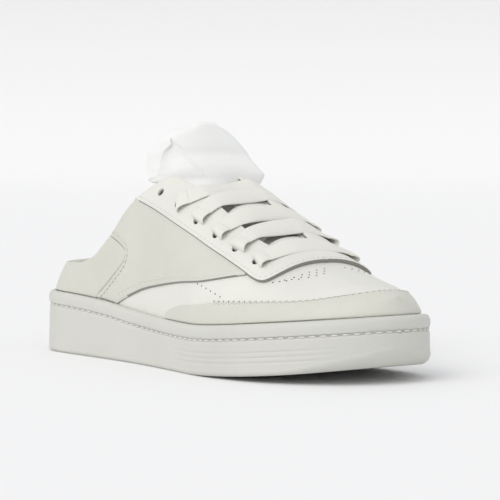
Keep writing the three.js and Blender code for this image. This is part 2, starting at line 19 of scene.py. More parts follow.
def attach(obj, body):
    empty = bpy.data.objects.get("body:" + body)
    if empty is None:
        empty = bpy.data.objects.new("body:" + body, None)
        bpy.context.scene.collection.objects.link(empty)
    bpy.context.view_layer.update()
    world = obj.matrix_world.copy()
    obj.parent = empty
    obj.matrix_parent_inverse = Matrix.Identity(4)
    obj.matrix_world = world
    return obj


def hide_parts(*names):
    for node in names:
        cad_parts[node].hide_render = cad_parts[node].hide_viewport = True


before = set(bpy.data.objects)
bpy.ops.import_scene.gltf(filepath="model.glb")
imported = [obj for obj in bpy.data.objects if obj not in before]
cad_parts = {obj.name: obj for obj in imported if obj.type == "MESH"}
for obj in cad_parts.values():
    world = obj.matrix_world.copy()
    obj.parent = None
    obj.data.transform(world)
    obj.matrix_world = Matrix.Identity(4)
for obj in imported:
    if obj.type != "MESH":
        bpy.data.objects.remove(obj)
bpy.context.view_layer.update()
LOG = logging.getLogger("mule")
MM = 0.001
Tint = tuple[float, float, float]


@dataclass(frozen=True)
class Curve:
    """Smooth value through chosen pairs of place and value."""

    pairs: tuple[tuple[float, float], ...]

    def __call__(self, place: np.ndarray | float) -> np.ndarray:
        """Value at one or many places.

        Args:
            place: Where the value is wanted, clipped to the first and last pair.

        Returns:
            The values, in the shape of the places.
        """
        x, y = np.asarray(self.pairs, float).T
        at = np.clip(place, x[0], x[-1])
        width = np.diff(x)
        slope = np.diff(y) / width
        tangent = np.empty_like(y)
        tangent[0] = slope[0]
        tangent[-1] = slope[-1]
        tangent[1:-1] = (slope[:-1] * width[1:] + slope[1:] * width[:-1]) / (width[:-1] + width[1:])
        i = np.clip(np.searchsorted(x, at, side="right") - 1, 0, len(x) - 2)
        u = (at - x[i]) / width[i]
        return (
            (2 * u**3 - 3 * u**2 + 1) * y[i]
            + (u**3 - 2 * u**2 + u) * width[i] * tangent[i]
            + (3 * u**2 - 2 * u**3) * y[i + 1]
            + (u**3 - u**2) * width[i] * tangent[i + 1]
        )


def curve(places: tuple[float, ...], *values: float) -> Curve:
    """Curve through one value at each place."""
    return Curve(tuple(zip(places, values, strict=True)))


class Side(Enum):
    """Side of the foot, as the sign of its Y."""

    OUTER = -1
    INNER = 1


class Slot(Enum):
    """Material slots of the record."""

    SOLE = "sole_rubber"
    VAMP = "vamp_leather"
    PANEL = "side_leather"
    TONGUE = "tongue_leather"
    LINING = "lining"
    LACE = "lace"


def smooth_run(points: list[tuple[float, float]], count: int) -> np.ndarray:
    """Even points on a smooth line through chosen points.

    Args:
        points: Chosen points of the line, in order.
        count: How many points to return.

    Returns:
        Array of count points, evenly spaced along the line.
    """
    p = np.asarray(points, float)
    padded = np.vstack([2 * p[0] - p[1], p, 2 * p[-1] - p[-2]])
    u = np.linspace(0, 1, 24, endpoint=False)[:, None]
    fine = []
    for k in range(len(p) - 1):
        a, b, c, d = padded[k : k + 4]
        square = 2 * a - 5 * b + 4 * c - d
        cube = 3 * b - a - 3 * c + d
        fine.append(0.5 * (2 * b + (c - a) * u + square * u**2 + cube * u**3))
    line = np.vstack([*fine, p[-1:]])
    return evened(line, count)


def evened(line: np.ndarray, count: int) -> np.ndarray:
    """Points evenly spaced along a run of points.

    Args:
        line: Run of points, one per row.
        count: How many points to return.

    Returns:
        Array of count points.
    """
    step = np.linalg.norm(np.diff(line, axis=0), axis=1)
    reach = np.concatenate([[0.0], np.cumsum(step)])
    at = np.linspace(0, reach[-1], count)
    return np.stack([np.interp(at, reach, line[:, k]) for k in range(line.shape[1])], axis=1)


def even_loop(loop: np.ndarray, step: float = 1.3) -> np.ndarray:
    """Points evenly spaced round a closed outline.

    Args:
        loop: The outline's points, in order.
        step: Distance wanted between points.

    Returns:
        The even points, with none repeated.
    """
    count = int(np.linalg.norm(np.diff(loop, axis=0), axis=1).sum() / step)
    return evened(np.vstack([loop, loop[:1]]), count)[:-1]


def soft_step(value: np.ndarray | float, low: float, high: float) -> np.ndarray:
    """Smooth rise from 0 at one value to 1 at another."""
    u = np.clip((np.asarray(value, float) - low) / (high - low), 0, 1)
    return u * u * (3 - 2 * u)


class Build:
    """Gathers the vertices and faces of one mesh, in millimetres."""

    def __init__(self) -> None:
        """Starts an empty mesh."""
        self.points: list[np.ndarray] = []
        self.faces: list[tuple[int, ...]] = []
        self.tones: list[int] = []
        self.flat: list[np.ndarray] = []
        self.count = 0

    def add(self, points: np.ndarray, flat: np.ndarray | None = None) -> int:
        """Adds loose vertices.

        Args:
            points: One vertex per row.
            flat: Their places on the flat piece, for the weave of a strip.

        Returns:
            The index of the first one.
        """
        first = self.count
        rows = np.asarray(points, float).reshape(-1, 3)
        self.points.append(rows)
        self.flat.append(np.zeros((len(rows), 2)) if flat is None else np.asarray(flat).reshape(-1, 2))
        self.count += len(rows)
        return first

    def grid(self, points: np.ndarray, closed: bool = False, tone: int = 0, flip: bool = False,
             flat: np.ndarray | None = None) -> int:
        """Adds a sheet of four-sided faces.

        Args:
            points: Rows by columns by three.
            closed: Whether each row is a closed loop.
            tone: Material index of the faces.
            flip: Whether the faces are turned over.
            flat: Rows by columns by two, the places on the flat piece.

        Returns:
            The index of the first vertex.
        """
        rows, columns = points.shape[:2]
        first = self.add(points, flat)
        last = columns if closed else columns - 1
        for r in range(rows - 1):
            for c in range(last):
                a = first + r * columns + c
                b = first + r * columns + (c + 1) % columns
                face = (a, b, b + columns, a + columns)
                self.faces.append(face[::-1] if flip else face)
                self.tones.append(tone)
        return first

    def fan(self, ring: list[int], middle: np.ndarray, tone: int = 0) -> None:
        """Closes a loop of vertices with a fan round a middle point.

        Args:
            ring: Indices of the loop's vertices.
            middle: The middle point.
            tone: Material index of the faces.
        """
        centre = self.add(middle)
        for a, b in zip(ring, ring[1:] + ring[:1]):
            self.faces.append((a, b, centre))
            self.tones.append(tone)

    def tube(self, loops: np.ndarray, flat: np.ndarray | None = None) -> None:
        """Adds a tube of closed loops with both ends closed.

        Args:
            loops: Loops by points by three.
            flat: Loops by points by two, the places on the flat piece.
        """
        count = loops.shape[1]
        first = self.grid(loops, closed=True, flat=flat)
        last = self.count - count
        self.fan(list(range(last, last + count)), loops[-1].mean(axis=0))
        self.fan(list(range(first, first + count))[::-1], loops[0].mean(axis=0))

    def make(self, name: str, materials: list[bpy.types.Material], slot: Slot, weld: float = 0.004,
             sharp: float = 40.0) -> bpy.types.Object:
        """Turns the gathered faces into a piece that rides on the shoe.

        Args:
            name: Name of the piece.
            materials: Materials by index.
            slot: Slot of the record; not used.
            weld: Distance within which vertices are joined.
            sharp: Angle in degrees from which an edge stays sharp.

        Returns:
            The new object.
        """
        mesh = bpy.data.meshes.new(name)
        points = np.vstack(self.points) * MM
        mesh.from_pydata([tuple(p) for p in points], [], self.faces)
        flat = np.vstack(self.flat)
        layer = mesh.uv_layers.new(name="flat")
        loops = np.empty(len(mesh.loops), np.int32)
        mesh.loops.foreach_get("vertex_index", loops)
        layer.data.foreach_set("uv", (flat[loops] * MM).ravel())
        mesh.polygons.foreach_set("material_index", self.tones)
        for material in materials:
            mesh.materials.append(material)
        obj = bpy.data.objects.new(name, mesh)
        bpy.context.scene.collection.objects.link(obj)
        tidy(obj, weld * MM, sharp)
        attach(obj, "root")
        LOG.info("%s: %d faces", name, len(mesh.polygons))
        return obj


def tidy(obj: bpy.types.Object, weld: float, sharp: float) -> None:
    """Welds a mesh, turns its faces out and shades it smooth up to an angle.

    Args:
        obj: The object to clean.
        weld: Distance, in metres, within which vertices are joined.
        sharp: Angle in degrees from which an edge stays sharp.
    """
    work = bmesh.new()
    work.from_mesh(obj.data)
    bmesh.ops.remove_doubles(work, verts=work.verts, dist=weld)
    bmesh.ops.dissolve_degenerate(work, dist=weld * 0.2, edges=work.edges)
    bmesh.ops.recalc_face_normals(work, faces=work.faces)
    limit = math.radians(sharp)
    for face in work.faces:
        face.smooth = True
    for edge in work.edges:
        edge.smooth = not (edge.is_manifold and edge.calc_face_angle(0) > limit)
    work.to_mesh(obj.data)
    work.free()


# Shares of the length at which the outline and the sections are given.
OUTLINE = (0, 0.16, 0.3, 0.44, 0.56, 0.68, 0.78, 0.9, 1)
SECTIONS = (0, 0.1, 0.2, 0.3, 0.38, 0.48, 0.58, 0.68, 0.78, 0.88, 0.95, 1)


@dataclass(frozen=True)
class Last:
    """The foot-shaped form: outline, heights and section of sole and upper."""

    length: float = 278.0
    ball_width: float = 101.0
    heel_width: float = 75.0
    heel_rim: float = 34.0
    ball_rim: float = 26.0
    toe_spring: float = 8.6
    rim_width: float = 4.5
    feather_depth: float = 7.0
    instep_height: float = 84.5
    heel_centre: float = 0.137
    heel_cap: float = 0.135
    toe_cap: float = 0.235
    toe_power: float = 2.15
    spring_start: float = 0.62
    spring_power: float = 1.5
    heel_lean: float = 0.45
    heel_lean_end: float = 0.35
    toe_lean: float = 0.3
    toe_lean_start: float = 0.75
    arc: float = 78.0

    middle: Curve = curve(OUTLINE, 0, 0, -0.01, -0.025, -0.02, 0, 0.025, 0.065, 0.09)
    heel_part: Curve = curve(OUTLINE, 1, 1.01, 0.99, 0.6, 0.2, 0, 0, 0, 0)
    ball_part: Curve = curve(OUTLINE, 0, 0, 0, 0.3, 0.7, 0.98, 1, 0.96, 0.91)
    rim_step: Curve = curve((0, 0.15, 0.3, 0.42, 0.52, 0.85, 1), 1, 0.94, 0.62, 0.19, 0, 0, -0.06)
    ridge: Curve = curve(SECTIONS, 0.39, 0.465, 0.69, 0.905, 0.975, 0.935, 0.8, 0.625, 0.458, 0.33,
                         0.26, 0.18)
    drift: Curve = curve(SECTIONS, 0, 0, 0, 0.01, 0.025, 0.04, 0.055, 0.06, 0.055, 0.07, 0.085, 0.09)
    side_fullness: Curve = curve(SECTIONS, 2.2, 2.3, 2.5, 2.8, 3, 3, 2.8, 2.5, 2.3, 2.3, 2.4, 2.5)
    top_fullness: Curve = curve(SECTIONS, 2.2, 2.2, 2.3, 2.5, 2.8, 3, 2.8, 2.4, 2.1, 2.1, 2.2, 2.3)

    def along(self, share: np.ndarray, inset: np.ndarray | float = 0.0) -> np.ndarray:
        """Lengthwise place of a share, for an outline pulled in by an inset."""
        return (share - self.heel_centre) * self.length + inset * (1 - 2 * share)

    def ends(self, share: np.ndarray) -> np.ndarray:
        """Rounding of both ends.

        Args:
            share: Places along the shoe.

        Returns:
            0 at the tips and 1 between the caps.
        """
        heel = np.clip((self.heel_cap - share) / self.heel_cap, 0, 1)
        toe = np.clip((share - 1 + self.toe_cap) / self.toe_cap, 0, 1)
        return np.sqrt(1 - heel**2) * (1 - toe**self.toe_power) ** (1 / self.toe_power)

    def centre(self, share: np.ndarray) -> np.ndarray:
        """Middle of the outline at a share."""
        return self.middle(share) * self.ball_width

    def half_width(self, share: np.ndarray, inset: np.ndarray | float) -> np.ndarray:
        """Half width of the outline pulled in by an inset."""
        full = self.heel_part(share) * self.heel_width + self.ball_part(share) * self.ball_width
        return (full / 2 - inset) * self.ends(share)

    def tread(self, share: np.ndarray) -> np.ndarray:
        """Height of the tread, rising to the toe."""
        rise = np.clip((share - self.spring_start) / (1 - self.spring_start), 0, 1)
        return self.toe_spring * rise**self.spring_power

    def rim(self, share: np.ndarray) -> np.ndarray:
        """Height of the sole's rim."""
        return self.tread(share) + self.ball_rim + self.rim_step(share) * (self.heel_rim - self.ball_rim)

    def feather(self, share: np.ndarray) -> np.ndarray:
        """Height of the line where the upper meets the footbed."""
        return self.rim(share) - self.feather_depth

    def lean(self, share: np.ndarray) -> np.ndarray:
        """How far the section leans along the shoe for each millimetre over the rim.

        Args:
            share: Places along the shoe.

        Returns:
            The lean, forward at the heel and back at the toe.
        """
        heel = self.heel_lean * np.clip(1 - share / self.heel_lean_end, 0, 1) ** 2
        toe = np.clip((share - self.toe_lean_start) / (1 - self.toe_lean_start), 0, 1)
        return heel - self.toe_lean * toe**2

    def skin(self, share: np.ndarray, turn: np.ndarray, offset: np.ndarray | float = 0.0) -> np.ndarray:
        """Points on the form, grown by an offset.

        Args:
            share: Places along the shoe, 0 at the heel and 1 at the toe.
            turn: Places round the section, -1 and 1 at the feather lines and 0 at the ridge.
            offset: How far the surface is grown.

        Returns:
            Points, with a last axis of three.
        """
        share, turn, offset = np.broadcast_arrays(np.asarray(share, float), turn, offset)
        angle = np.abs(turn) * np.pi / 2
        wide = np.abs(np.sin(angle)) ** (2 / self.side_fullness(share))
        high = np.clip(np.cos(angle), 0, 1) ** (2 / self.top_fullness(share))
        ridge = self.ridge(share) * self.instep_height + offset
        z = self.feather(share) + ridge * high
        centre = self.centre(share)
        middle = centre + (self.drift(share) * self.ball_width - centre) * high**2
        half = self.half_width(share, self.rim_width - offset)
        above = np.maximum(z - self.rim(share), 0)
        x = self.along(share, self.rim_width - offset) + self.lean(share) * above
        return np.stack([x, middle + np.sign(turn) * half * wide, z], axis=-1)

    def outward(self, share: np.ndarray, turn: np.ndarray) -> np.ndarray:
        """Outward directions of the form's surface.

        Args:
            share: Places along the shoe.
            turn: Places round the section.

        Returns:
            Unit vectors, with a last axis of three.
        """
        step = 0.004
        lengthwise = self.skin(share + step, turn) - self.skin(share - step, turn)
        crosswise = self.skin(share, turn + step) - self.skin(share, turn - step)
        normal = np.cross(lengthwise, crosswise)
        return normal / np.linalg.norm(normal, axis=-1, keepdims=True)

    def from_side(self, share: np.ndarray, rise: np.ndarray) -> tuple[np.ndarray, np.ndarray]:
        """Share and turn of points given as seen from the side.

        Args:
            share: Places along the shoe in the side view.
            rise: Heights over the feather line, as shares of the instep height.

        Returns:
            The shares on the form, and the turns without sign.
        """
        share = np.asarray(share, float)
        z = self.feather(share) + np.asarray(rise, float) * self.instep_height
        at = share.copy()
        for _ in range(8):
            at = share - self.lean(at) * np.maximum(z - self.rim(at), 0) / self.length
        at = np.clip(at, 0, 1)
        high = np.clip((z - self.feather(at)) / (self.ridge(at) * self.instep_height), 0, 1)
        return at, np.arccos(high ** (self.top_fullness(at) / 2)) * 2 / np.pi

    def turn_at(self, share: np.ndarray, y: np.ndarray) -> np.ndarray:
        """Turns at which the form has given Y places.

        Args:
            share: Places along the shoe.
            y: The wanted Y place at each.

        Returns:
            The turns, found by halving.
        """
        low = np.full(np.shape(share), -1.0)
        high = np.full(np.shape(share), 1.0)
        for _ in range(30):
            mid = (low + high) / 2
            below = self.skin(share, mid)[..., 1] < y
            low = np.where(below, mid, low)
            high = np.where(below, high, mid)
        return (low + high) / 2

    def flat_to_skin(self, flat: np.ndarray, offset: np.ndarray | float = 0.0) -> np.ndarray:
        """Points on the form for places on a pattern, in millimetres along and round it."""
        return self.skin(flat[:, 0] / self.length, flat[:, 1] / self.arc, offset)


LAST = Last()
WALL = 1.8
THROAT_WIDTH = 29.0

# Lines as seen from the side: share of the length, and rise over the feather line as a share of the
# instep height.
COLLAR = ((0, 0.265), (0.07, 0.262), (0.145, 0.278), (0.187, 0.297), (0.226, 0.348), (0.247, 0.406),
          (0.27, 0.477), (0.292, 0.56), (0.314, 0.665), (0.338, 0.75))
LACE_PANEL_EDGE = ((0.338, 0.75), (0.41, 0.722), (0.495, 0.66), (0.575, 0.586), (0.65, 0.5),
                   (0.7, 0.432), (0.73, 0.388), (0.755, 0.35), (0.776, 0.325), (0.79, 0.324),
                   (0.799, 0.354), (0.803, 0.4), (0.805, 0.5))
QUARTER_EDGE = ((0.3, 0), (0.31, 0.05), (0.325, 0.09), (0.37, 0.162), (0.435, 0.24), (0.55, 0.312),
                (0.645, 0.34), (0.722, 0.366))
GUARD_EDGE = ((0.505, 0), (0.514, 0.108), (0.53, 0.143), (0.572, 0.178), (0.655, 0.205), (0.7, 0.21),
              (0.79, 0.203), (0.88, 0.195), (0.935, 0.21), (1, 0.24))
COUNTER_EDGE = ((0.27, 0.5), (0.317, 0.464), (0.342, 0.432), (0.345, 0.38), (0.327, 0.312), (0.283, 0.19),
                (0.25, 0.1), (0.235, 0))
# The throat's edge as share of the length and share of the throat's half width, then the eyelets
# as share of the length and turn.
THROAT = ((0.32, 1.9), (0.345, 1.7), (0.378, 1.49), (0.405, 1.2), (0.425, 1.02), (0.46, 1), (0.6, 1),
          (0.69, 0.97), (0.735, 0.78), (0.757, 0.42), (0.764, 0))
EYELETS = ((0.42, 0.43), (0.487, 0.46), (0.557, 0.465), (0.62, 0.437), (0.68, 0.41), (0.738, 0.395))


def side_run(table: tuple[tuple[float, float], ...], count: int) -> np.ndarray:
    """Smooth side view line as shares and turns without sign.

    Args:
        table: Chosen points as share and rise.
        count: How many points to return.

    Returns:
        Array of count rows of share and turn.
    """
    scaled = [(s * LAST.length, r * LAST.instep_height) for s, r in table]
    line = smooth_run(scaled, count)
    share, turn = LAST.from_side(line[:, 0] / LAST.length, line[:, 1] / LAST.instep_height)
    return np.stack([share, turn], axis=1)


def opening_edge(side: Side) -> np.ndarray:
    """Edge of the opening on one side, from the back of the heel to the throat's front end.

    Args:
        side: Side of the foot.

    Returns:
        Rows of share and turn, the shares rising.
    """
    collar = side_run(COLLAR, 90)
    collar[:, 1] *= side.value
    plan = [(s * LAST.length, h * THROAT_WIDTH / 2) for s, h in THROAT[1:]]
    throat = smooth_run(plan, 130)
    share = throat[:, 0] / LAST.length
    turn = LAST.turn_at(share, side.value * np.maximum(throat[:, 1], 0))
    edge = np.vstack([collar, np.stack([share, turn], axis=1)])
    edge[:, 0] = np.maximum.accumulate(edge[:, 0])
    scaled = edge * (LAST.length, LAST.arc)
    rounded = evened(scaled, 260)
    near = (rounded[:, 0] > 0.3 * LAST.length) & (rounded[:, 0] < 0.4 * LAST.length)
    for _ in range(10):
        mean = (np.roll(rounded, 1, axis=0) + 2 * rounded + np.roll(rounded, -1, axis=0)) / 4
        rounded[near] = mean[near]
    return rounded / (LAST.length, LAST.arc)


def flat_of(run: np.ndarray, side: Side | None = None) -> np.ndarray:
    """Places on the pattern for rows of share and turn.

    Args:
        run: Rows of share and turn.
        side: Side that the run is mirrored to, if any.

    Returns:
        Rows of millimetres along and round the form.
    """
    scaled = run * (LAST.length, LAST.arc)
    if side is not None:
        scaled[:, 1] = side.value * np.abs(scaled[:, 1])
    return scaled


def above_rim(run: np.ndarray) -> np.ndarray:
    """Part of a run of share and turn that lies over the sole's rim."""
    z = LAST.skin(run[:, 0], run[:, 1])[:, 2] - LAST.rim(run[:, 0])
    return run[z > -0.3]


def rim_turn(share: np.ndarray, lift: float = 0.0) -> np.ndarray:
    """Turn, without sign, at which the form passes the sole's rim.

    Args:
        share: Places along the shoe.
        lift: Height over the rim that is meant instead.

    Returns:
        The turn at each place.
    """
    share = np.asarray(share, float)
    high = (LAST.feather_depth + lift) / (LAST.ridge(share) * LAST.instep_height)
    return np.arccos(np.clip(high, 0, 1) ** (LAST.top_fullness(share) / 2)) * 2 / np.pi


def inset_ring(ring: np.ndarray, depth: float) -> np.ndarray:
    """Closed ring of pattern points moved inwards.

    Args:
        ring: The ring's points.
        depth: How far they move, outwards where it is negative.

    Returns:
        The moved ring.
    """
    before = np.roll(ring, 1, axis=0)
    after = np.roll(ring, -1, axis=0)
    run = after - before
    run /= np.maximum(np.linalg.norm(run, axis=1, keepdims=True), 1e-9)
    area = np.sum(ring[:, 0] * after[:, 1] - after[:, 0] * ring[:, 1])
    normal = np.stack([-run[:, 1], run[:, 0]], axis=1) * np.sign(area)
    return ring + normal * depth


def inside(points: np.ndarray, ring: np.ndarray) -> np.ndarray:
    """Whether points lie inside a closed ring.

    Args:
        points: Points of the pattern.
        ring: The ring's points.

    Returns:
        One truth value for each point.
    """
    x, y = points[:, :1], points[:, 1:]
    ax, ay = ring.T
    bx, by = np.roll(ring, -1, axis=0).T
    with np.errstate(divide="ignore", invalid="ignore"):
        cross = (ay > y) != (by > y)
        hit = cross & (x < (bx - ax) * (y - ay) / (by - ay) + ax)
    return hit.sum(axis=1) % 2 == 1


@dataclass
class Panel:
    """Leather panel cut to an outline on the form, with softened cut edges and punched holes.

    Its cut edge is dark from a given turn down to the sole, and round the front lobe: the raw edge's own
    colour with painted shadow under the edge.
    """

    outline: np.ndarray
    leather: float
    # Turn from which the cut edge is dark: raw edge with painted shadow under it.
    edge_and_shadow_from: float
    holes: list[np.ndarray] = field(default_factory=list)
    spacing: float = 2.4
    soften: float = 0.8
    edge_height: float = 0.8
    rim_margin: float = 0.03
    lobe_from: float = 0.775
    lobe_gain: float = 32.0
    steps: tuple[tuple[float, float], ...] = ((0.0, 0.55), (0.4, 0.9), (1.0, 1.0))

    def fill(self, build: Build) -> None:
        """Adds the closed panel to a mesh.

        Args:
            build: The mesh in the making.
        """
        points, lift, edges, rims = self.cut()
        result = geometry.delaunay_2d_cdt([Vector(p) for p in points], edges, [], 0, 1e-4)
        places = np.array([tuple(v) for v in result[0]])
        height = np.array([lift[origin[0]] if origin else 1.0 for origin in result[3]])
        triangles = np.array(result[2])
        middle = places[triangles].mean(axis=1)
        keep = inside(middle, self.outline)
        for hole in self.holes:
            keep &= ~inside(middle, hole)
        triangles = triangles[keep]
        top = build.add(LAST.flat_to_skin(places, self.leather * height))
        low = build.add(LAST.flat_to_skin(places, 0.0))
        for a, b, c in triangles:
            build.faces.append((top + a, top + b, top + c))
            build.faces.append((low + c, low + b, low + a))
            # Top faces in the softened edge band take the dark edge material where shows() allows: raw
            # edge colour with painted shadow.
            edge = height[[a, b, c]].mean() < self.edge_height
            build.tones += [int(edge and self.shows(places[[a, b, c]].mean(axis=0))), 1]
        where = {origin: k for k, origins in enumerate(result[3]) for origin in origins}
        for ring in rims:
            for i, a in enumerate(ring):
                b = ring[(i + 1) % len(ring)]
                a_new, b_new = where[a], where[b]
                build.faces.append((top + a_new, low + a_new, low + b_new, top + b_new))
                build.tones.append(1)

    def shows(self, place: np.ndarray) -> bool:
        """Whether the cut edge's dark tone, raw edge with painted shadow, shows.

        Args:
            place: Place on the pattern.

        Returns:
            True where it shows: not at the sole's rim, and further up on the front lobe.
        """
        share = place[0] / LAST.length
        turn = abs(place[1]) / LAST.arc
        if turn > float(rim_turn(np.array(share))) - self.rim_margin:
            return False
        return turn + self.lobe_gain * max(share - self.lobe_from, 0.0) > self.edge_and_shadow_from

    def cut(self) -> tuple[np.ndarray, list[float], list[tuple[int, int]], list[list[int]]]:
        """Cuts the pattern.

        Returns:
            Its points, their share of the leather's thickness, the edges and the outermost rings.
        """
        points: list[np.ndarray] = []
        lift: list[float] = []
        edges: list[tuple[int, int]] = []
        rims: list[list[int]] = []
        for loop, sign in [(self.outline, 1.0)] + [(hole, -1.0) for hole in self.holes]:
            soften = self.soften if sign > 0 else 0.3 * self.soften
            for part, height in self.steps:
                ring = inset_ring(loop, sign * part * soften)
                first = sum(len(p) for p in points)
                points.append(ring)
                lift += [height] * len(ring)
                index = list(range(first, first + len(ring)))
                edges += list(zip(index, index[1:] + index[:1]))
                if part == 0.0:
                    rims.append(index)
        low = self.outline.min(axis=0)
        high = self.outline.max(axis=0)
        rows = []
        for k, y in enumerate(np.arange(low[1], high[1], self.spacing * 0.87)):
            x = np.arange(low[0] + (k % 2) * self.spacing / 2, high[0], self.spacing)
            rows.append(np.stack([x, np.full_like(x, y)], axis=1))
        lattice = np.vstack(rows)
        lattice = lattice[inside(lattice, self.outline)]
        bounds = np.vstack(points)
        gap = np.linalg.norm(lattice[:, None] - bounds[None], axis=2).min(axis=1)
        keep = gap > 0.6 * self.spacing
        for hole in self.holes:
            keep &= ~inside(lattice, hole)
        lattice = lattice[keep]
        points.append(lattice)
        lift += [1.0] * len(lattice)
        return np.vstack(points), lift, edges, rims


def hole_ring(share: float, turn: float, radius: float, count: int = 20) -> np.ndarray:
    """Pattern ring of a hole that is round on the form.

    Args:
        share: Place along the shoe.
        turn: Place round the section.
        radius: Radius of the hole.
        count: Points of the ring.

    Returns:
        The ring on the pattern.
    """
    step = 0.002
    lengthwise = LAST.skin(share + step, turn) - LAST.skin(share - step, turn)
    crosswise = LAST.skin(share, turn + step) - LAST.skin(share, turn - step)
    run = np.linalg.norm(lengthwise) / (2 * step * LAST.length)
    arc = np.linalg.norm(crosswise) / (2 * step * LAST.arc)
    angle = np.linspace(0, 2 * np.pi, count, endpoint=False)
    ring = np.stack([radius / run * np.cos(angle), radius / arc * np.sin(angle)], axis=1)
    return ring + (share * LAST.length, turn * LAST.arc)


def patch(left: np.ndarray, right: np.ndarray, low: np.ndarray, high: np.ndarray, across: np.ndarray,
          up: np.ndarray) -> np.ndarray:
    """Grid between four edges that share their corners.

    Args:
        left: Edge from low to high at the start.
        right: Edge from low to high at the end.
        low: Lower edge from left to right.
        high: Upper edge from left to right.
        across: Shares from left to right.
        up: Shares from low to high.

    Returns:
        Rows going up by columns going across, by two.
    """
    def at(edge: np.ndarray, share: np.ndarray) -> np.ndarray:
        """Points of an edge at shares of its run."""
        place = np.linspace(0, 1, len(edge))
        return np.stack([np.interp(share, place, edge[:, k]) for k in (0, 1)], axis=-1)

    p = across[None, :, None]
    q = up[:, None, None]
    lows, highs = at(low, across)[None], at(high, across)[None]
    lefts, rights = at(left, up)[:, None], at(right, up)[:, None]
    corners = (1 - p) * ((1 - q) * low[0] + q * high[0]) + p * ((1 - q) * low[-1] + q * high[-1])
    return (1 - q) * lows + q * highs + (1 - p) * lefts + p * rights - corners


def edged(count: int, first: bool, length: float, soften: float = 0.8) -> tuple[np.ndarray, np.ndarray]:
    """Shares across a panel with close steps at its free edges, and the leather's height there.

    Args:
        count: Even steps between the edges.
        first: Whether the start is a free edge, as the end is.
        length: Width of the panel.
        soften: Width of the softened edge.

    Returns:
        The shares, and the height at each as a share of the leather's thickness.
    """
    near = [(0.0, 0.0), (0.02, 0.55), (0.4 * soften, 0.9), (soften, 1.0)]
    start = [(d / length, h) for d, h in near] if first else [(0.0, 1.0)]
    stop = [(1 - d / length, h) for d, h in reversed(near)]
    between = np.linspace(start[-1][0], stop[0][0], count + 2)[1:-1]
    table = np.array(start + [(float(b), 1.0) for b in between] + stop)
    return table[:, 0], table[:, 1]


def overlay(build: Build, grid: np.ndarray, thickness: np.ndarray, side: Side,
            ends: tuple[int, ...] = ()) -> None:
    """Adds one side of a leather overlay with its cut edges.

    Args:
        build: The mesh in the making.
        grid: Rows by columns of share and turn without sign.
        thickness: Thickness at each place of the grid.
        side: Side of the foot.
        ends: Columns that are cut edges, besides the first and the last row.
    """
    turn = grid[..., 1] * side.value
    face = LAST.skin(grid[..., 0], turn, thickness)
    back = LAST.skin(grid[..., 0], turn)
    build.grid(face)
    build.grid(back, tone=1, flip=True)
    for k in (0, -1):
        build.grid(np.stack([face[k], back[k]]), tone=1)
    for k in ends:
        build.grid(np.stack([face[:, k], back[:, k]]), tone=1)


@dataclass
class Stitching:
    """Runs of thread laid as small rounded stitches."""

    length: float = 2.4
    gap: float = 0.9
    radius: float = 0.3
    sides: int = 6
    shape: tuple[tuple[float, float, float], ...] = (
        (0.0, -0.9, 0.25),
        (0.12, -0.1, 0.8),
        (0.5, 0.3, 1.0),
        (0.88, -0.1, 0.8),
        (1.0, -0.9, 0.25),
    )

    def bar(self, build: Build, start: np.ndarray, end: np.ndarray, normal: np.ndarray,
            radius: float | None = None) -> None:
        """Adds one stitch between two points, its ends sunk and its middle proud.

        Args:
            build: The mesh in the making.
            start: First end.
            end: Other end.
            normal: Outward direction.
            radius: Thickness, where it isn't the run's own.
        """
        size = self.radius if radius is None else radius
        run = end - start
        side = np.cross(run, normal)
        side /= max(np.linalg.norm(side), 1e-9)
        up = np.cross(side, run)
        up /= max(np.linalg.norm(up), 1e-9)
        angle = np.linspace(0, 2 * np.pi, self.sides, endpoint=False)[:, None]
        loop = np.cos(angle) * side + np.sin(angle) * up
        rows = []
        for u, lift, wide in self.shape:
            middle = start + run * u + up * lift * size
            rows.append(middle + size * wide * loop)
        build.grid(np.array(rows), closed=True)

    def along(self, build: Build, flat: np.ndarray, offset: float) -> None:
        """Adds stitches along a line on the pattern.

        Args:
            build: The mesh in the making.
            flat: Line on the pattern.
            offset: Height of the leather's face over the form.
        """
        fine = LAST.flat_to_skin(flat, offset)
        step = np.linalg.norm(np.diff(fine, axis=0), axis=1)
        reach = np.concatenate([[0.0], np.cumsum(step)])
        count = max(int(reach[-1] / (self.length + self.gap)), 1)
        pitch = reach[-1] / count
        for k in range(count):
            ends = np.array([k * pitch + self.gap / 2, (k + 1) * pitch - self.gap / 2])
            place = np.stack([np.interp(ends, reach, flat[:, i]) for i in (0, 1)], axis=1)
            a, b = LAST.flat_to_skin(place, offset)
            middle = place.mean(axis=0)
            normal = LAST.outward(middle[0] / LAST.length, middle[1] / LAST.arc)
            self.bar(build, a, b, normal)


def pinhole(build: Build, place: np.ndarray, radius: float, offset: float = 0.0) -> None:
    """Adds a small dark disc at a place on the pattern.

    Args:
        build: The mesh of the discs.
        place: Place on the pattern.
        radius: Radius of the disc.
        offset: Height of the leather's face over the form.
    """
    count = 10
    ring = hole_ring(place[0] / LAST.length, place[1] / LAST.arc, radius, count)
    first = build.add(LAST.flat_to_skin(ring, offset + 0.1))
    build.fan(list(range(first, first + count)), LAST.flat_to_skin(place[None], offset + 0.05)[0])


def offset_line(line: np.ndarray, depth: float) -> np.ndarray:
    """Line on the pattern moved sideways.

    Args:
        line: The line's points.
        depth: How far it moves to the left of its run.

    Returns:
        The moved line.
    """
    run = np.gradient(line, axis=0)
    run /= np.maximum(np.linalg.norm(run, axis=1, keepdims=True), 1e-9)
    return line + depth * np.stack([-run[:, 1], run[:, 0]], axis=1)


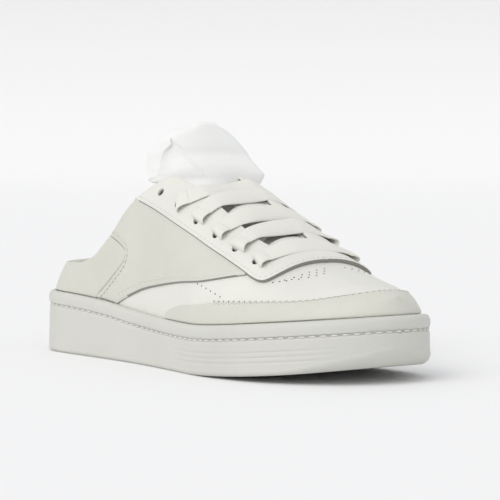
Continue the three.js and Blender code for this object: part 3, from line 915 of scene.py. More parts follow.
@dataclass
class Sole:
    """Moulded cup sole: side wall, stitch groove, rim, side ribs and tread."""

    rim_band: float = 7.5
    groove: float = 0.9
    flare: float = 0.8
    rib: float = 0.32
    rib_pitch: float = 2.6
    ribs: int = 3
    edge_round: float = 2.2
    toe_bumper: float = 7.5
    tread_depth: float = 1.6
    border: float = 7.0
    pitch: float = 11.0
    tread_groove: float = 2.4
    heel_disc: float = 13.0
    ball_disc: float = 13.5
    ball_centre: float = 0.57
    waist_from: float = 0.38
    waist_to: float = 0.5
    bumper_from: float = 0.86
    ribs_from: float = 0.55
    ribs_to: float = 0.96
    fine_rib: float = 0.12
    gap: float = 0.3
    groove_rings: tuple[tuple[float, float], ...] = (
        (0.0, -1.0), (0.35, -0.62), (1.0, -0.25), (1.0, 0.25), (0.3, 0.7), (-0.35, 1.1),
    )
    rim_rings: tuple[tuple[float, float], ...] = (
        (0.28, 0.3), (0.22, 0.45), (0.28, 0.6), (0.45, 0.74), (0.85, 0.85), (1.4, 0.94),
        (2.1, 0.985), (2.9, 1.0), (3.7, 0.99),
    )

    def shares(self) -> np.ndarray:
        """Places of the sole's cross rows.

        Returns:
            The places, closer at both ends and at the tread's bars.
        """
        even = (1 - np.cos(np.linspace(0, np.pi, 190))) / 2
        bars = []
        for place in self.bars():
            half = self.half_groove(place) / LAST.length
            bars += [place - half - 0.0009, place - half, place + half, place + half + 0.0009]
        merged = np.unique(np.round(np.concatenate([even, bars]), 5))
        close = np.concatenate([[True], np.diff(merged) > 0.0006])
        return merged[close]

    def bars(self) -> list[float]:
        """Places of the tread's cross grooves."""
        count = int(LAST.length / self.pitch)
        return [i / count for i in range(1, count)]

    def half_groove(self, place: float) -> float:
        """Half the width of a tread groove, which is a whole bar wide at the waist."""
        return (self.pitch if self.waist_from < place < self.waist_to else self.tread_groove) / 2

    def edge(self, share: np.ndarray) -> np.ndarray:
        """Radius of the lower edge, larger at the toe."""
        toe = np.clip((share - self.bumper_from) / (1 - self.bumper_from), 0, 1)
        return self.edge_round + self.toe_bumper * toe**1.5

    def groove_line(self, share: np.ndarray) -> np.ndarray:
        """Height of the stitch groove."""
        return LAST.rim(share) - self.rim_band

    def ring(self, share: np.ndarray, inset: np.ndarray, height: np.ndarray) -> np.ndarray:
        """Closed ring round the outline.

        Args:
            share: Places from heel to toe.
            inset: How far the outline is pulled in at each.
            height: Height at each.

        Returns:
            Points of the outer side and back along the inner side.
        """
        x = LAST.along(share, inset)
        half = LAST.half_width(share, inset)
        outer = np.stack([x, LAST.centre(share) - half, height], axis=1)
        inner = np.stack([x, LAST.centre(share) + half, height], axis=1)
        return np.vstack([outer, inner[-2:0:-1]])

    def profile(self, share: np.ndarray) -> list[tuple[np.ndarray, np.ndarray]]:
        """Rings of the side, from the tread to inside the rim.

        Args:
            share: Places from heel to toe.

        Returns:
            Each ring's insets and heights.
        """
        tread, rim = LAST.tread(share), LAST.rim(share)
        groove, edge = self.groove_line(share), self.edge(share)
        one = np.ones_like(share)
        rows = []
        for turn in np.linspace(0, 1, 7):
            angle = turn * np.pi / 2
            rows.append((edge * (1 - np.sin(angle)), tread + edge * (1 - np.cos(angle))))
        low = tread + edge
        high = groove - 1.6 * self.groove
        first = tread + 0.36 * (groove - tread)
        fade = np.clip((share - self.ribs_from) / 0.07, 0, 1)
        fade *= np.clip((self.ribs_to - share) / 0.05, 0, 1)
        for u in np.linspace(0.04, 1, 34):
            z = low + (high - low) * u
            lean = self.flare * (z - tread) / (rim - tread)
            place = (z - first) / self.rib_pitch
            ribbed = (place > -0.5) & (place < self.ribs - 0.5)
            wave = np.where(ribbed, 0.5 + 0.5 * np.cos(2 * np.pi * place), 0.0) ** 3
            rows.append((lean + self.rib * fade * wave, z))
        for out, lift in self.groove_rings:
            rows.append((one * (self.flare + self.groove * out), groove + self.groove * lift))
        for out, lift in self.rim_rings:
            rows.append((one * out, groove + self.rim_band * lift))
        rows.append((one * (LAST.rim_width - 0.6), rim - 0.25))
        rows.append((one * (LAST.rim_width - self.gap), rim - 0.7))
        rows.append((one * (LAST.rim_width - self.gap), LAST.feather(share) - self.gap))
        return rows

    def depth(self, points: np.ndarray, share: np.ndarray, inset: np.ndarray) -> np.ndarray:
        """Depth of the tread's pattern.

        Args:
            points: Places on the tread, X and Y in the last axis.
            share: Place along the shoe of each.
            inset: Distance from the outline of each.

        Returns:
            How far each place lies up inside the sole.
        """
        cut = np.zeros(share.shape)
        for place in self.bars():
            half = self.half_groove(place)
            away = np.abs(share - place) * LAST.length
            cut = np.maximum(cut, 1 - soft_step(away, half, half + 0.25))
        for centre, radius in ((LAST.heel_centre, self.heel_disc), (self.ball_centre, self.ball_disc)):
            at = np.array([LAST.along(np.array(centre)), LAST.centre(np.array(centre))])
            away = np.linalg.norm(points - at, axis=-1)
            cut *= soft_step(away, radius - 0.4, radius + 0.2)
            outer = radius + self.tread_groove
            ring = soft_step(away, radius - 0.2, radius + 0.4)
            ring *= 1 - soft_step(away, outer - 0.4, outer + 0.2)
            cut = np.maximum(cut, ring)
        fine = self.fine_rib * (0.5 + 0.5 * np.cos(2 * np.pi * points[..., 1] / 2.4))
        bordered = soft_step(inset, self.border - 0.5, self.border + 0.3)
        return (cut * self.tread_depth + fine * (1 - cut)) * bordered

    def make(self, rubber: bpy.types.Material, thread: bpy.types.Material) -> None:
        """Builds the sole and its groove stitches.

        Args:
            rubber: Material of the sole.
            thread: Material of the thread.
        """
        share = self.shares()
        build = Build()
        rings = np.array([self.ring(share, inset, height) for inset, height in self.profile(share)])
        build.grid(rings, closed=True)
        self.cap(build, share, self.edge(share), LAST.tread, True)
        bed = np.full_like(share, LAST.rim_width - self.gap)
        self.cap(build, share, bed, lambda s: LAST.feather(s) - self.gap, False)
        obj = build.make("cup_sole", [rubber], Slot.SOLE, sharp=50)
        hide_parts("outsole")
        self.sew(thread)

    def sew(self, thread: bpy.types.Material) -> None:
        """Builds the stitches in the groove, all round the sole.

        Args:
            thread: Material of the thread.
        """
        sewn = Build()
        share = (1 - np.cos(np.linspace(0, 1, 900) * np.pi)) / 2
        inset = np.full_like(share, self.flare + 0.42 * self.groove)
        line = self.ring(share, inset, self.groove_line(share))
        stitch = Stitching(length=3.9, gap=1.6, radius=0.55)
        reach = np.concatenate([[0.0], np.cumsum(np.linalg.norm(np.diff(line, axis=0), axis=1))])
        count = int(reach[-1] / (stitch.length + stitch.gap))
        for k in range(count):
            at = np.array([k + 0.15, k + 0.85]) * reach[-1] / count
            a, b = np.stack([np.interp(at, reach, line[:, i]) for i in range(3)], axis=1)
            run = b - a
            out = np.array([run[1], -run[0], 0.0])
            stitch.bar(sewn, a, b, out / np.linalg.norm(out))
        sewn.make("sole_stitching", [thread], Slot.SOLE, weld=0.001)

    def cap(self, build: Build, share: np.ndarray, inset: np.ndarray,
            height: Callable[[np.ndarray], np.ndarray], patterned: bool) -> None:
        """Closes the sole below or above.

        Args:
            build: The mesh in the making.
            share: Places of the cross rows.
            inset: How far the outline is pulled in at each row.
            height: Function from share to height.
            patterned: Whether it carries the tread.
        """
        across = np.linspace(-1, 1, 75)[None]
        x = LAST.along(share, inset)[:, None] + 0 * across
        half = LAST.half_width(share, inset)[:, None]
        y = LAST.centre(share)[:, None] + half * across
        z = height(share)[:, None] + 0 * across
        if patterned:
            wide = share[:, None] + 0 * across
            margin = half * (1 - np.abs(across))
            ends = np.minimum(wide, 1 - wide) * LAST.length
            inwards = np.minimum(margin, ends) + self.edge_round
            z = z + self.depth(np.stack([x, y], axis=-1), wide, inwards)
        build.grid(np.stack([x, y, z], axis=-1), flip=patterned)


@dataclass
class Footbed:
    """Cupped footbed with a stitched textile cover."""

    thickness: float = 5.0
    cup: float = 1.4
    arch: float = 1.2
    clearance: float = 1.8

    def make(self, cover: bpy.types.Material, foam: bpy.types.Material) -> None:
        """Builds the footbed.

        Args:
            cover: Material of its face.
            foam: Material of its edge and underside.
        """
        side = LAST.rim_width + WALL + self.clearance
        share = (1 - np.cos(np.linspace(0, np.pi, 110))) / 2
        across = np.sin(np.linspace(-np.pi / 2, np.pi / 2, 46))[None]
        build = Build()
        x = LAST.along(share, side)[:, None] + 0 * across
        half = LAST.half_width(share, side)[:, None]
        y = LAST.centre(share)[:, None] + half * across
        base = LAST.feather(share)[:, None] + 0 * across
        rise = self.cup * np.abs(across) ** 5 + 0 * half
        along = 1 - np.abs(soft_step(share, 0.2, 0.6) * 2 - 1)
        arch = self.arch * soft_step(across, 0.2, 1) * along[:, None]
        upper = np.stack([x, y, base + self.thickness + rise + arch], axis=-1)
        lower = np.stack([x, y, base], axis=-1)
        build.grid(upper)
        build.grid(lower, tone=1, flip=True)
        for k, sign in ((0, -1), (-1, 1)):
            middle = (upper[:, k] + lower[:, k]) / 2
            middle[:, 1] += 0.5 * sign * LAST.ends(share)
            build.grid(np.stack([lower[:, k], middle, upper[:, k]]), tone=1)
        obj = build.make("footbed", [cover, foam], Slot.LINING)
        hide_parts("insole")


@dataclass
class Shell:
    """Leather upper with its textile lining, open at the collar, down the throat and underneath."""

    rows: int = 30
    edge_round: float = 0.4
    closed_from: float = 0.92

    def columns(self, side: Side) -> tuple[np.ndarray, np.ndarray]:
        """Places along one side and the turn at which each column ends.

        Args:
            side: Side of the foot.

        Returns:
            Shares, and the turns of the opening's edge or of the middle of the vamp.
        """
        edge = opening_edge(side)
        front, turn = edge[-1]
        share = front + (1 - front) * np.sin(np.linspace(0, np.pi / 2, 60))
        turns = turn * (1 - soft_step(share, front, self.closed_from))
        return np.concatenate([edge[:, 0], share[1:]]), np.concatenate([edge[:, 1], turns[1:]])

    def make(self, leather: bpy.types.Material, lining: bpy.types.Material,
             cut: bpy.types.Material) -> None:
        """Builds the shell.

        Args:
            leather: Material outside.
            lining: Material inside.
            cut: Material of the cut edge.
        """
        build = Build()
        for side in Side:
            share, stop = self.columns(side)
            p = np.linspace(0, 1, self.rows)[:, None]
            turn = side.value + (stop[None] - side.value) * p
            place = share[None] + 0 * p
            outer = LAST.skin(place, turn)
            inner = LAST.skin(place, turn, -WALL)
            build.grid(outer, tone=0)
            build.grid(inner, tone=1, flip=True)
            build.grid(np.stack([outer[0], inner[0]]), tone=2)
            edge = slice(0, len(opening_edge(side)))
            a = outer[-1, edge]
            b = inner[-1, edge]
            away = a - outer[-2, edge]
            away /= np.maximum(np.linalg.norm(away, axis=1, keepdims=True), 1e-9)
            angle = np.linspace(0, np.pi, 6)[:, None, None]
            bulge = np.sin(angle) * self.edge_round * WALL
            build.grid((a + b) / 2 + (a - b) / 2 * np.cos(angle) + away * bulge, tone=2)
        obj = build.make("upper_shell", [leather, lining, cut], Slot.VAMP)
        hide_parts("upper")


@dataclass
class LacePanel:
    """U-shaped lace panel with punched eyelets."""

    leather: float = 2.0
    hole: float = 2.1
    hole_sides: int = 24
    # Turn from which the cut edge is dark: raw edge with painted shadow under it.
    edge_and_shadow_from: float = 0.5
    seam: float = 2.2

    def outline(self) -> np.ndarray:
        """Closed pattern outline of the panel.

        Returns:
            Even points on the pattern.
        """
        start = LACE_PANEL_EDGE[0][0] - 0.004
        lower = {side: flat_of(side_run(LACE_PANEL_EDGE, 150), side) for side in Side}
        edges = {side: opening_edge(side) for side in Side}
        throat = {side: flat_of(edge[edge[:, 0] >= start]) for side, edge in edges.items()}
        inner = [lower[Side.INNER][::-1][1:], throat[Side.INNER][2:]]
        loop = np.vstack([lower[Side.OUTER], *inner, throat[Side.OUTER][::-1][1:-2]])
        return even_loop(loop)

    def make(self, leather: bpy.types.Material, cut: bpy.types.Material, dark: bpy.types.Material,
             thread: bpy.types.Material) -> None:
        """Builds the panel, the sleeves of its holes and its stitches.

        Args:
            leather: Material of its face.
            cut: Material of its cut edge, dark for the raw edge with painted shadow under it.
            dark: Material at the bottom of an empty hole.
            thread: Material of the thread.
        """
        build = Build()
        places = [(s, side.value * t) for s, t in EYELETS for side in Side]
        holes = [hole_ring(s, t, self.hole) for s, t in places]
        Panel(self.outline(), self.leather, self.edge_and_shadow_from, holes).fill(build)
        obj = build.make("lace_panel", [leather, cut], Slot.VAMP, weld=0.002)
        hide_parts("eyestay")
        sleeves = Build()
        for s, t in places:
            ring = hole_ring(s, t, self.hole + 0.05, self.hole_sides)
            close = hole_ring(s, t, 0.5 * self.hole, self.hole_sides)
            middle = np.array([[s * LAST.length, t * LAST.arc]])
            levels = ((ring, self.leather * 0.8), (ring, 0.12), (close, 0.08))
            rows = np.array([LAST.flat_to_skin(flat, level) for flat, level in levels])
            last = sleeves.grid(rows, closed=True) + 2 * self.hole_sides
            sleeves.fan(list(range(last, last + self.hole_sides)), LAST.flat_to_skin(middle, 0.08)[0])
        sleeves.make("eyelet_holes", [dark], Slot.VAMP, weld=0.001)
        sewn = Build()
        for side in Side:
            line = flat_of(side_run(LACE_PANEL_EDGE, 220), side)
            Stitching().along(sewn, offset_line(line, -self.seam * side.value)[6:], self.leather)
        sewn.make("lace_panel_stitching", [thread], Slot.VAMP, weld=0.001)


def below(run: np.ndarray, over: np.ndarray, tuck: float = 0.0) -> np.ndarray:
    """Part of a run that lies lower on the form than another run.

    Args:
        run: Rows of share and turn without sign.
        over: The other run, its shares rising.
        tuck: How far, in turn, the run may reach past it.

    Returns:
        The kept rows.
    """
    limit = np.interp(run[:, 0], over[:, 0], over[:, 1])
    return run[run[:, 1] > limit - tuck]


@dataclass
class Quarters:
    """Side panels between heel counter, lace panel and sole."""

    leather: float = 1.2
    tuck: float = 0.006
    # Turn from which the cut edge is dark: raw edge with painted shadow under it.
    edge_and_shadow_from: float = 0.56
    seam: float = 1.9

    def outline(self, side: Side) -> np.ndarray:
        """Closed pattern outline of one quarter.

        Args:
            side: Side of the foot.

        Returns:
            Even points on the pattern.
        """
        collar = opening_edge(side)
        collar[:, 1] = np.abs(collar[:, 1])
        panel = side_run(LACE_PANEL_EDGE, 200)
        back = below(above_rim(side_run(COUNTER_EDGE, 60)[::-1]), collar)
        back[:, 0] -= 0.0012
        lower = below(above_rim(side_run(QUARTER_EDGE + ((0.76, 0.372),), 120)), panel)
        top = panel[panel[:, 0] < lower[-1, 0] - 0.002]
        top[:, 1] -= self.tuck
        rim = collar[(collar[:, 0] > back[-1, 0] + 0.002) & (collar[:, 0] < top[0, 0] - 0.001)]
        return even_loop(flat_of(np.vstack([back, rim, top, lower[::-1]]), side))

    def make(self, leather: bpy.types.Material, cut: bpy.types.Material,
             thread: bpy.types.Material) -> None:
        """Builds both quarters with their stitches.

        Args:
            leather: Material of the faces.
            cut: Material of the cut edges, dark for the raw edge with painted shadow under it.
            thread: Material of the thread.
        """
        for side, node in ((Side.OUTER, "quarter_lateral"), (Side.INNER, "quarter_medial")):
            build = Build()
            Panel(self.outline(side), self.leather, self.edge_and_shadow_from).fill(build)
            obj = build.make(f"quarter_{side.name.lower()}", [leather, cut], Slot.PANEL, weld=0.002)
            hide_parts(node)
            sewn = Build()
            lower = flat_of(above_rim(side_run(QUARTER_EDGE, 200)), side)
            Stitching().along(sewn, offset_line(lower, -self.seam * side.value)[4:-4], self.leather)
            sewn.make(f"quarter_stitching_{side.name.lower()}", [thread], Slot.PANEL, weld=0.001)


@dataclass
class HeelCounter:
    """Overlay round the heel, its front edge lobed."""

    leather: float = 1.5
    height: float = 26.0
    seam: float = 1.9

    def make(self, leather: bpy.types.Material, thread: bpy.types.Material) -> None:
        """Builds the counter with its stitches.

        Args:
            leather: Material of the face and the cut edge.
            thread: Material of the thread.
        """
        collar = opening_edge(Side.INNER)
        front = below(above_rim(side_run(COUNTER_EDGE, 80)[::-1]), collar)
        reach = np.linspace(0, 1, 90)
        low_share = reach * front[0, 0]
        low = np.stack([low_share, rim_turn(low_share, 0.1)], axis=1)
        low[-1] = front[0]
        high_share = reach * front[-1, 0]
        high = np.stack([high_share, np.interp(high_share, collar[:, 0], collar[:, 1])], axis=1)
        high[-1] = front[-1]
        left = np.stack([0 * reach, low[0, 1] + (high[0, 1] - low[0, 1]) * reach], axis=1)
        across, wall_across = edged(70, False, front[:, 0].mean() * LAST.length)
        up, wall_up = edged(22, True, self.height)
        build = Build()
        sewn = Build()
        grid = patch(left, front, low, high, across, up)
        thickness = self.leather * np.minimum(wall_up[:, None], wall_across[None])
        for side in Side:
            overlay(build, grid, thickness, side, ends=(-1,))
            line = offset_line(flat_of(front, side), self.seam * side.value)
            Stitching().along(sewn, line[2:-1], self.leather)
        obj = build.make("heel_counter_panel", [leather, leather], Slot.PANEL, weld=0.003)
        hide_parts("heel_counter")
        sewn.make("heel_counter_stitching", [thread], Slot.PANEL, weld=0.001)


@dataclass
class ToeGuard:
    """Overlay round the toe, whipped to the vamp along its top edge."""

    leather: float = 1.1
    height: float = 11.0
    whip_from: float = 0.69
    whip_pitch: float = 1.8
    whip_reach: float = 1.15
    thread: float = 0.26
    needle: float = 0.36

    def make(self, leather: bpy.types.Material, thread: bpy.types.Material,
             dark: bpy.types.Material) -> None:
        """Builds the guard with its whip stitches.

        Args:
            leather: Material of the face and the cut edge.
            thread: Material of the thread.
            dark: Material inside the needle holes.
        """
        top = above_rim(side_run(GUARD_EDGE, 260))
        keep = np.concatenate([[True], np.diff(np.maximum.accumulate(top[:, 0])) > 1e-5])
        top = top[keep]
        top[-1, 0] = 1.0
        low = np.stack([top[:, 0], rim_turn(top[:, 0], 0.1)], axis=1)
        reach = np.linspace(0, 1, 3)[:, None]
        left = low[0] + (top[0] - low[0]) * reach
        right = low[-1] + (top[-1] - low[-1]) * reach
        across = np.sin(np.linspace(0, np.pi / 2, 150)) ** 1.3
        up, wall = edged(12, True, self.height)
        grid = patch(left, right, low, top, across, up)
        start = np.clip((grid[..., 0] - top[0, 0]) * LAST.length, 0, 1)
        tip = top[top[:, 1] > 0.004][-1, 0]
        joined = np.clip((grid[-1:, :, 0] - tip) * LAST.length / 1.5, 0, 1)
        height = np.maximum(wall[:, None] * np.sqrt(start), joined * (up[:, None] > 0.5))
        build = Build()
        sewn = Build()
        pricked = Build()
        for side in Side:
            overlay(build, grid, self.leather * height, side)
            self.whip(sewn, pricked, top, side)
        obj = build.make("toe_guard_panel", [leather, leather], Slot.PANEL, weld=0.003)
        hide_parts("toe_guard")
        sewn.make("toe_guard_whipping", [thread], Slot.PANEL, weld=0.001)
        pricked.make("toe_guard_needle_holes", [dark], Slot.PANEL, weld=0.001)

    def whip(self, sewn: Build, pricked: Build, top: np.ndarray, side: Side) -> None:
        """Adds the slanting stitches over the guard's top edge.

        Args:
            sewn: The mesh of the thread.
            pricked: The mesh of the needle holes.
            top: The top edge as share and turn.
            side: Side of the foot.
        """
        line = flat_of(top[top[:, 0] > self.whip_from], side)
        real = LAST.flat_to_skin(line, self.leather)
        reach = np.concatenate([[0.0], np.cumsum(np.linalg.norm(np.diff(real, axis=0), axis=1))])
        stitch = Stitching()
        for k in range(int(reach[-1] / self.whip_pitch)):
            at = (k + np.array([0.1, 0.9])) * self.whip_pitch
            lean = np.array([1, -1]) * self.whip_reach * (1 if k % 2 else -1)
            ends = np.stack([np.interp(at, reach, line[:, i]) for i in (0, 1)], axis=1)
            ends[:, 1] += lean * side.value
            step = np.where(lean > 0, self.leather * 0.9, 0.2)
            a, b = LAST.flat_to_skin(ends, step)
            middle = ends.mean(axis=0)
            normal = LAST.outward(np.minimum(middle[0] / LAST.length, 0.995), middle[1] / LAST.arc)
            stitch.bar(sewn, a + 0.35 * normal, b + 0.35 * normal, normal, radius=self.thread)
            pinhole(pricked, ends[0], self.needle, step[0])


@dataclass
class Tongue:
    """Padded tongue with a sewn edge facet, standing up out of the throat."""

    width: float = 68.0
    pad: float = 9.0
    twist: float = 0.38
    shift: float = 3.5
    crown: float = 2.2
    rows: int = 150
    round: int = 300
    seam_depth: float = 1.5
    facet_depth: float = 3.2

    # Rows from the throat to the top: share of the length, rise as a share of the instep, outer and
    # inner half as shares of the width, outer drop, inner drop and sag as shares of the width, share
    # of the pad, and share of the twist.
    table: tuple[tuple[float, ...], ...] = (
        (0.775, 0.425, 0.27, 0.27, 0.06, 0.06, 0.0, 0.25, 0),
        (0.7, 0.53, 0.31, 0.31, 0.075, 0.075, 0.0, 0.33, 0),
        (0.61, 0.682, 0.32, 0.32, 0.08, 0.08, 0.0, 0.4, 0),
        (0.53, 0.81, 0.3, 0.3, 0.075, 0.075, 0.0, 0.45, 0),
        (0.49, 0.868, 0.24, 0.26, 0.06, 0.01, 0.0, 0.5, 0.25),
        (0.474, 0.92, 0.28, 0.38, 0.12, 0.0, 0.0, 0.6, 0.75),
        (0.468, 0.97, 0.38, 0.42, 0.18, 0.0, 0.01, 0.7, 0.95),
        (0.463, 1.015, 0.41, 0.4, 0.185, 0.0, 0.02, 0.8, 1),
        (0.457, 1.05, 0.41, 0.378, 0.17, 0.0, 0.02, 0.9, 1),
        (0.45, 1.09, 0.4, 0.352, 0.14, 0.0, 0.02, 1.0, 1),
        (0.448, 1.14, 0.375, 0.31, 0.13, 0.0, 0.02, 1.0, 1),
        (0.445, 1.19, 0.335, 0.25, 0.1, 0.0, 0.01, 0.95, 1),
        (0.443, 1.235, 0.245, 0.17, 0.06, 0.0, 0.0, 0.8, 1),
        (0.442, 1.265, 0.12, 0.09, 0.02, 0.0, 0.0, 0.5, 1),
    )
    # Places across of the seam and of the rolled outer edge, by row.
    seam: Curve = curve((4.4, 5.8, 8, 9.6, 10.7, 11.4), -0.26, -0.28, -0.38, -0.53, -0.71, -0.86)
    roll: Curve = curve((4.4, 6, 8.5, 9.8, 10.7, 11.4), -0.94, -0.93, -0.87, -0.8, -0.76, -0.87)

    def section(self, at: list[Curve], place: float) -> np.ndarray:
        """Loop of one cross row.

        Args:
            at: Curves through the table's columns.
            place: Row of the table, with parts of a row between.

        Returns:
            The loop's points.
        """
        outer, inner, back, fore, sag, pad, twist = (float(curve(place)) for curve in at[2:])
        centre = self.middle(at, place)
        ahead = self.middle(at, min(place + 0.3, len(self.table) - 1))
        run = ahead - self.middle(at, max(place - 0.3, 0))
        run[1] = 0
        run /= np.linalg.norm(run)
        up = np.array([run[2], 0.0, -run[0]])
        angle = np.linspace(0, 2 * np.pi, self.round, endpoint=False)
        u = np.cos(angle)
        v = np.sign(np.sin(angle)) * np.abs(np.sin(angle)) ** 0.7
        sideways = np.array([math.sin(twist * self.twist), math.cos(twist * self.twist), 0.0])
        drop = np.where(u < 0, back, fore) * self.width * np.abs(u) ** 2.4
        height = pad * self.pad * (v - 1) / 2 - drop
        height -= self.facet(place, u) * (v > 0) * np.abs(v)
        points = centre + height[:, None] * up
        points[:, 2] -= sag * self.width * np.abs(u) ** 3
        half = np.where(u < 0, outer, inner) * self.width
        return points + (u * half)[:, None] * sideways

    def middle(self, at: list[Curve], place: float) -> np.ndarray:
        """Middle of a cross row's outer face.

        Args:
            at: Curves through the table's columns.
            place: Row of the table, with parts of a row between.

        Returns:
            The point.
        """
        share, rise, twist = (float(at[k](place)) for k in (0, 1, 8))
        drift = float(LAST.drift(share)) * LAST.ball_width
        y = drift + (self.shift - drift) * twist
        z = float(LAST.feather(np.array(share))) + rise * LAST.instep_height
        return np.array([float(LAST.along(np.array(share))), y, z])

    def facet(self, place: float, u: np.ndarray) -> np.ndarray:
        """How far the outer face sinks between its seam and its rolled outer edge.

        Args:
            place: Row of the table, with parts of a row between.
            u: Places across the row, from -1 to 1.

        Returns:
            The depth at each place.
        """
        seam = float(self.seam(place))
        roll = min(float(self.roll(place)), seam - 0.02)
        fade = float(soft_step(place, 4.6, 5.8) * (1 - soft_step(place, 10.2, 11.4)))
        channel = np.exp(-(((u - seam) / 0.022) ** 2)) * self.seam_depth
        part = np.clip((seam - u) / (seam - roll), 0, 1)
        hollow = np.sin(np.pi * part) ** 0.8 * self.facet_depth
        return (channel + hollow) * fade

    def make(self, leather: bpy.types.Material) -> None:
        """Builds the tongue.

        Args:
            leather: Material of the tongue.
        """
        last = len(self.table) - 1
        places = last * (1 - (1 - np.linspace(0, 1, self.rows)) ** 1.25)
        at = [Curve(tuple(enumerate(column))) for column in zip(*self.table)]
        loops = [self.section(at, place) for place in places]
        loops += self.crown_rows(loops[-1])
        build = Build()
        build.tube(np.array(loops))
        obj = build.make("padded_tongue", [leather], Slot.TONGUE, sharp=60)
        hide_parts("tongue")

    def crown_rows(self, loop: np.ndarray) -> list[np.ndarray]:
        """Rounds the tongue's top over.

        Args:
            loop: The last cross row.

        Returns:
            The loops that follow it.
        """
        middle = loop.mean(axis=0)
        rows = []
        for angle in (0.35, 0.7, 1.05, 1.35):
            shrunk = middle + (loop - middle) * math.cos(angle)
            shrunk[:, 2] += self.crown * math.sin(angle)
            rows.append(shrunk)
        return rows


@dataclass(frozen=True)
class Bar:
    """One bar of the lace between a pair of eyelets.

    It bows ahead by a share of the length, sinks by a share of the full dip, tips forward by an angle in
    radians and sways a little up and down.
    """

    eyelet: int
    ahead: float
    dip: float
    tilt: float
    sway: float


@dataclass
class Laces:
    """Flat woven lace drawn in straight bars, with slanting runs hidden under them."""

    width: float = 11.8
    pinched: float = 4.0
    thickness: float = 1.15
    rest: float = 3.0
    dip: float = 2.6
    reach: float = 27.0
    bow: float = 1.7
    steps: int = 150
    round: int = 22
    bars: tuple[Bar, ...] = (
        Bar(1, 0.04, 1.2, 0.1, 0.0),
        Bar(2, 0.006, 0.5, 0.16, 0.4),
        Bar(3, 0.007, 0.3, 0.2, -0.5),
        Bar(4, -0.004, 0.3, 0.22, 0.5),
        Bar(5, 0.01, 0.0, 0.14, -0.3),
    )

    def bar(self, bar: Bar) -> Build:
        """One bar, out of an eyelet, over the throat and into the eyelet across.

        Args:
            bar: The bar's places.

        Returns:
            The mesh of the bar.
        """
        share, turn = EYELETS[bar.eyelet]
        rest = self.rest
        climb = [(-1.0, -3.4), (-0.997, -0.6), (-0.98, rest + 0.5), (-0.93, rest + 0.95),
                 (-0.82, rest + 0.45), (-0.66, rest)]
        line = climb + [(-u, height) for u, height in reversed(climb)]
        path = smooth_run([(u * self.reach, height) for u, height in line], self.steps)
        u = np.clip(path[:, 0] / self.reach, -1, 1)
        place = share + bar.ahead * (1 - np.abs(u) ** 3)
        sunk = LAST.skin(place, turn * u)[:, 1] / (THROAT_WIDTH / 2)
        height = path[:, 1] - bar.dip * self.dip * np.clip(1 - sunk**2, 0, 1)
        height += bar.sway * 0.5 * np.sin(2.2 * np.pi * u) * (1 - u**2)
        lean = bar.tilt * np.cos(0.95 * np.pi * u) + 0.05 * bar.sway * np.sin(3 * u)
        return self.ribbon(place, turn * u, height, lean)

    def slant(self, bar: Bar, after: Bar) -> Build:
        """Run under the wall from one bar's inner eyelet to the next bar's outer eyelet.

        Args:
            bar: The bar before.
            after: The bar after.

        Returns:
            The mesh of the run.
        """
        share, turn = EYELETS[bar.eyelet]
        next_share, next_turn = EYELETS[after.eyelet]
        u = np.linspace(0, 1, self.steps)
        under = -WALL - self.thickness / 2 - 0.2
        height = under + self.bow * np.sin(np.pi * u) ** 4
        place = share + (next_share - share) * u
        return self.ribbon(place, turn - (turn + next_turn) * u, height, 0 * u)

    def ribbon(self, share: np.ndarray, turn: np.ndarray, height: np.ndarray, lean: np.ndarray) -> Build:
        """Flat strip over the form, gathered at both ends.

        Args:
            share: Places along the shoe.
            turn: Places round the form.
            height: Heights over the form.
            lean: How far the strip is tipped forward, in radians.

        Returns:
            The mesh of the strip.
        """
        points = LAST.skin(share, turn, height)
        normal = LAST.outward(share, turn)
        course = np.gradient(LAST.skin(share, turn), axis=0)
        course /= np.linalg.norm(course, axis=1, keepdims=True)
        sideways = np.cross(normal, course)
        sideways *= np.sign(sideways[:, :1])
        sideways /= np.linalg.norm(sideways, axis=1, keepdims=True)
        run = np.gradient(points, axis=0)
        run /= np.linalg.norm(run, axis=1, keepdims=True)
        face = np.cross(run, sideways)
        face *= np.sign((face * normal).sum(axis=1, keepdims=True) + 1e-9)
        tipped = sideways * np.cos(lean)[:, None] - face * np.sin(lean)[:, None]
        face = face * np.cos(lean)[:, None] + sideways * np.sin(lean)[:, None]
        reach = np.concatenate([[0.0], np.cumsum(np.linalg.norm(np.diff(points, axis=0), axis=1))])
        end = np.minimum(reach, reach[-1] - reach)
        full = self.width / 2
        slim = self.pinched / 2
        front = slim + (full - slim) * soft_step(end, 2.6, 6.8)
        front += 1.1 * np.exp(-(((end - 7.6) / 2.4) ** 2))
        back = slim + (full - slim) * soft_step(end, 3.2, 13.0)
        thick = self.thickness * (1.25 - 0.25 * soft_step(end, 4.0, 12.0))
        angle = np.linspace(0, 2 * np.pi, self.round, endpoint=False)
        c, s = np.cos(angle), np.sin(angle)
        across = np.sign(c) * np.abs(c) ** 0.6
        up = np.sign(s) * np.abs(s) ** 0.6
        half = np.where(across[None] > 0, front[:, None], back[:, None])
        pleat = 0.4 * np.cos(7.0 * across)[None] * np.exp(-(((end - 5.5) / 4.0) ** 2))[:, None]
        level = up[None] * (thick / 2)[:, None] - 0.5 * across[None] ** 2 + pleat
        wide = (half * across[None])[..., None] * tipped[:, None]
        loops = points[:, None] + wide + level[..., None] * face[:, None]
        flat = np.stack([reach[:, None] + 0 * across[None], across[None] * full + 0 * half], axis=-1)
        build = Build()
        build.tube(loops, flat)
        return build

    def make(self, weave: bpy.types.Material) -> None:
        """Builds every bar and the slanting runs between them.

        Args:
            weave: Material of the lace.
        """
        for k, bar in enumerate(self.bars):
            obj = self.bar(bar).make(f"lace_strip_{k + 1}", [weave], Slot.LACE, sharp=75)
            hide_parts(f"lace_bar_{k + 1}")
        for k, (bar, after) in enumerate(zip(self.bars, self.bars[1:])):
            self.slant(bar, after).make(f"lace_slant_{k + 1}", [weave], Slot.LACE, sharp=75)


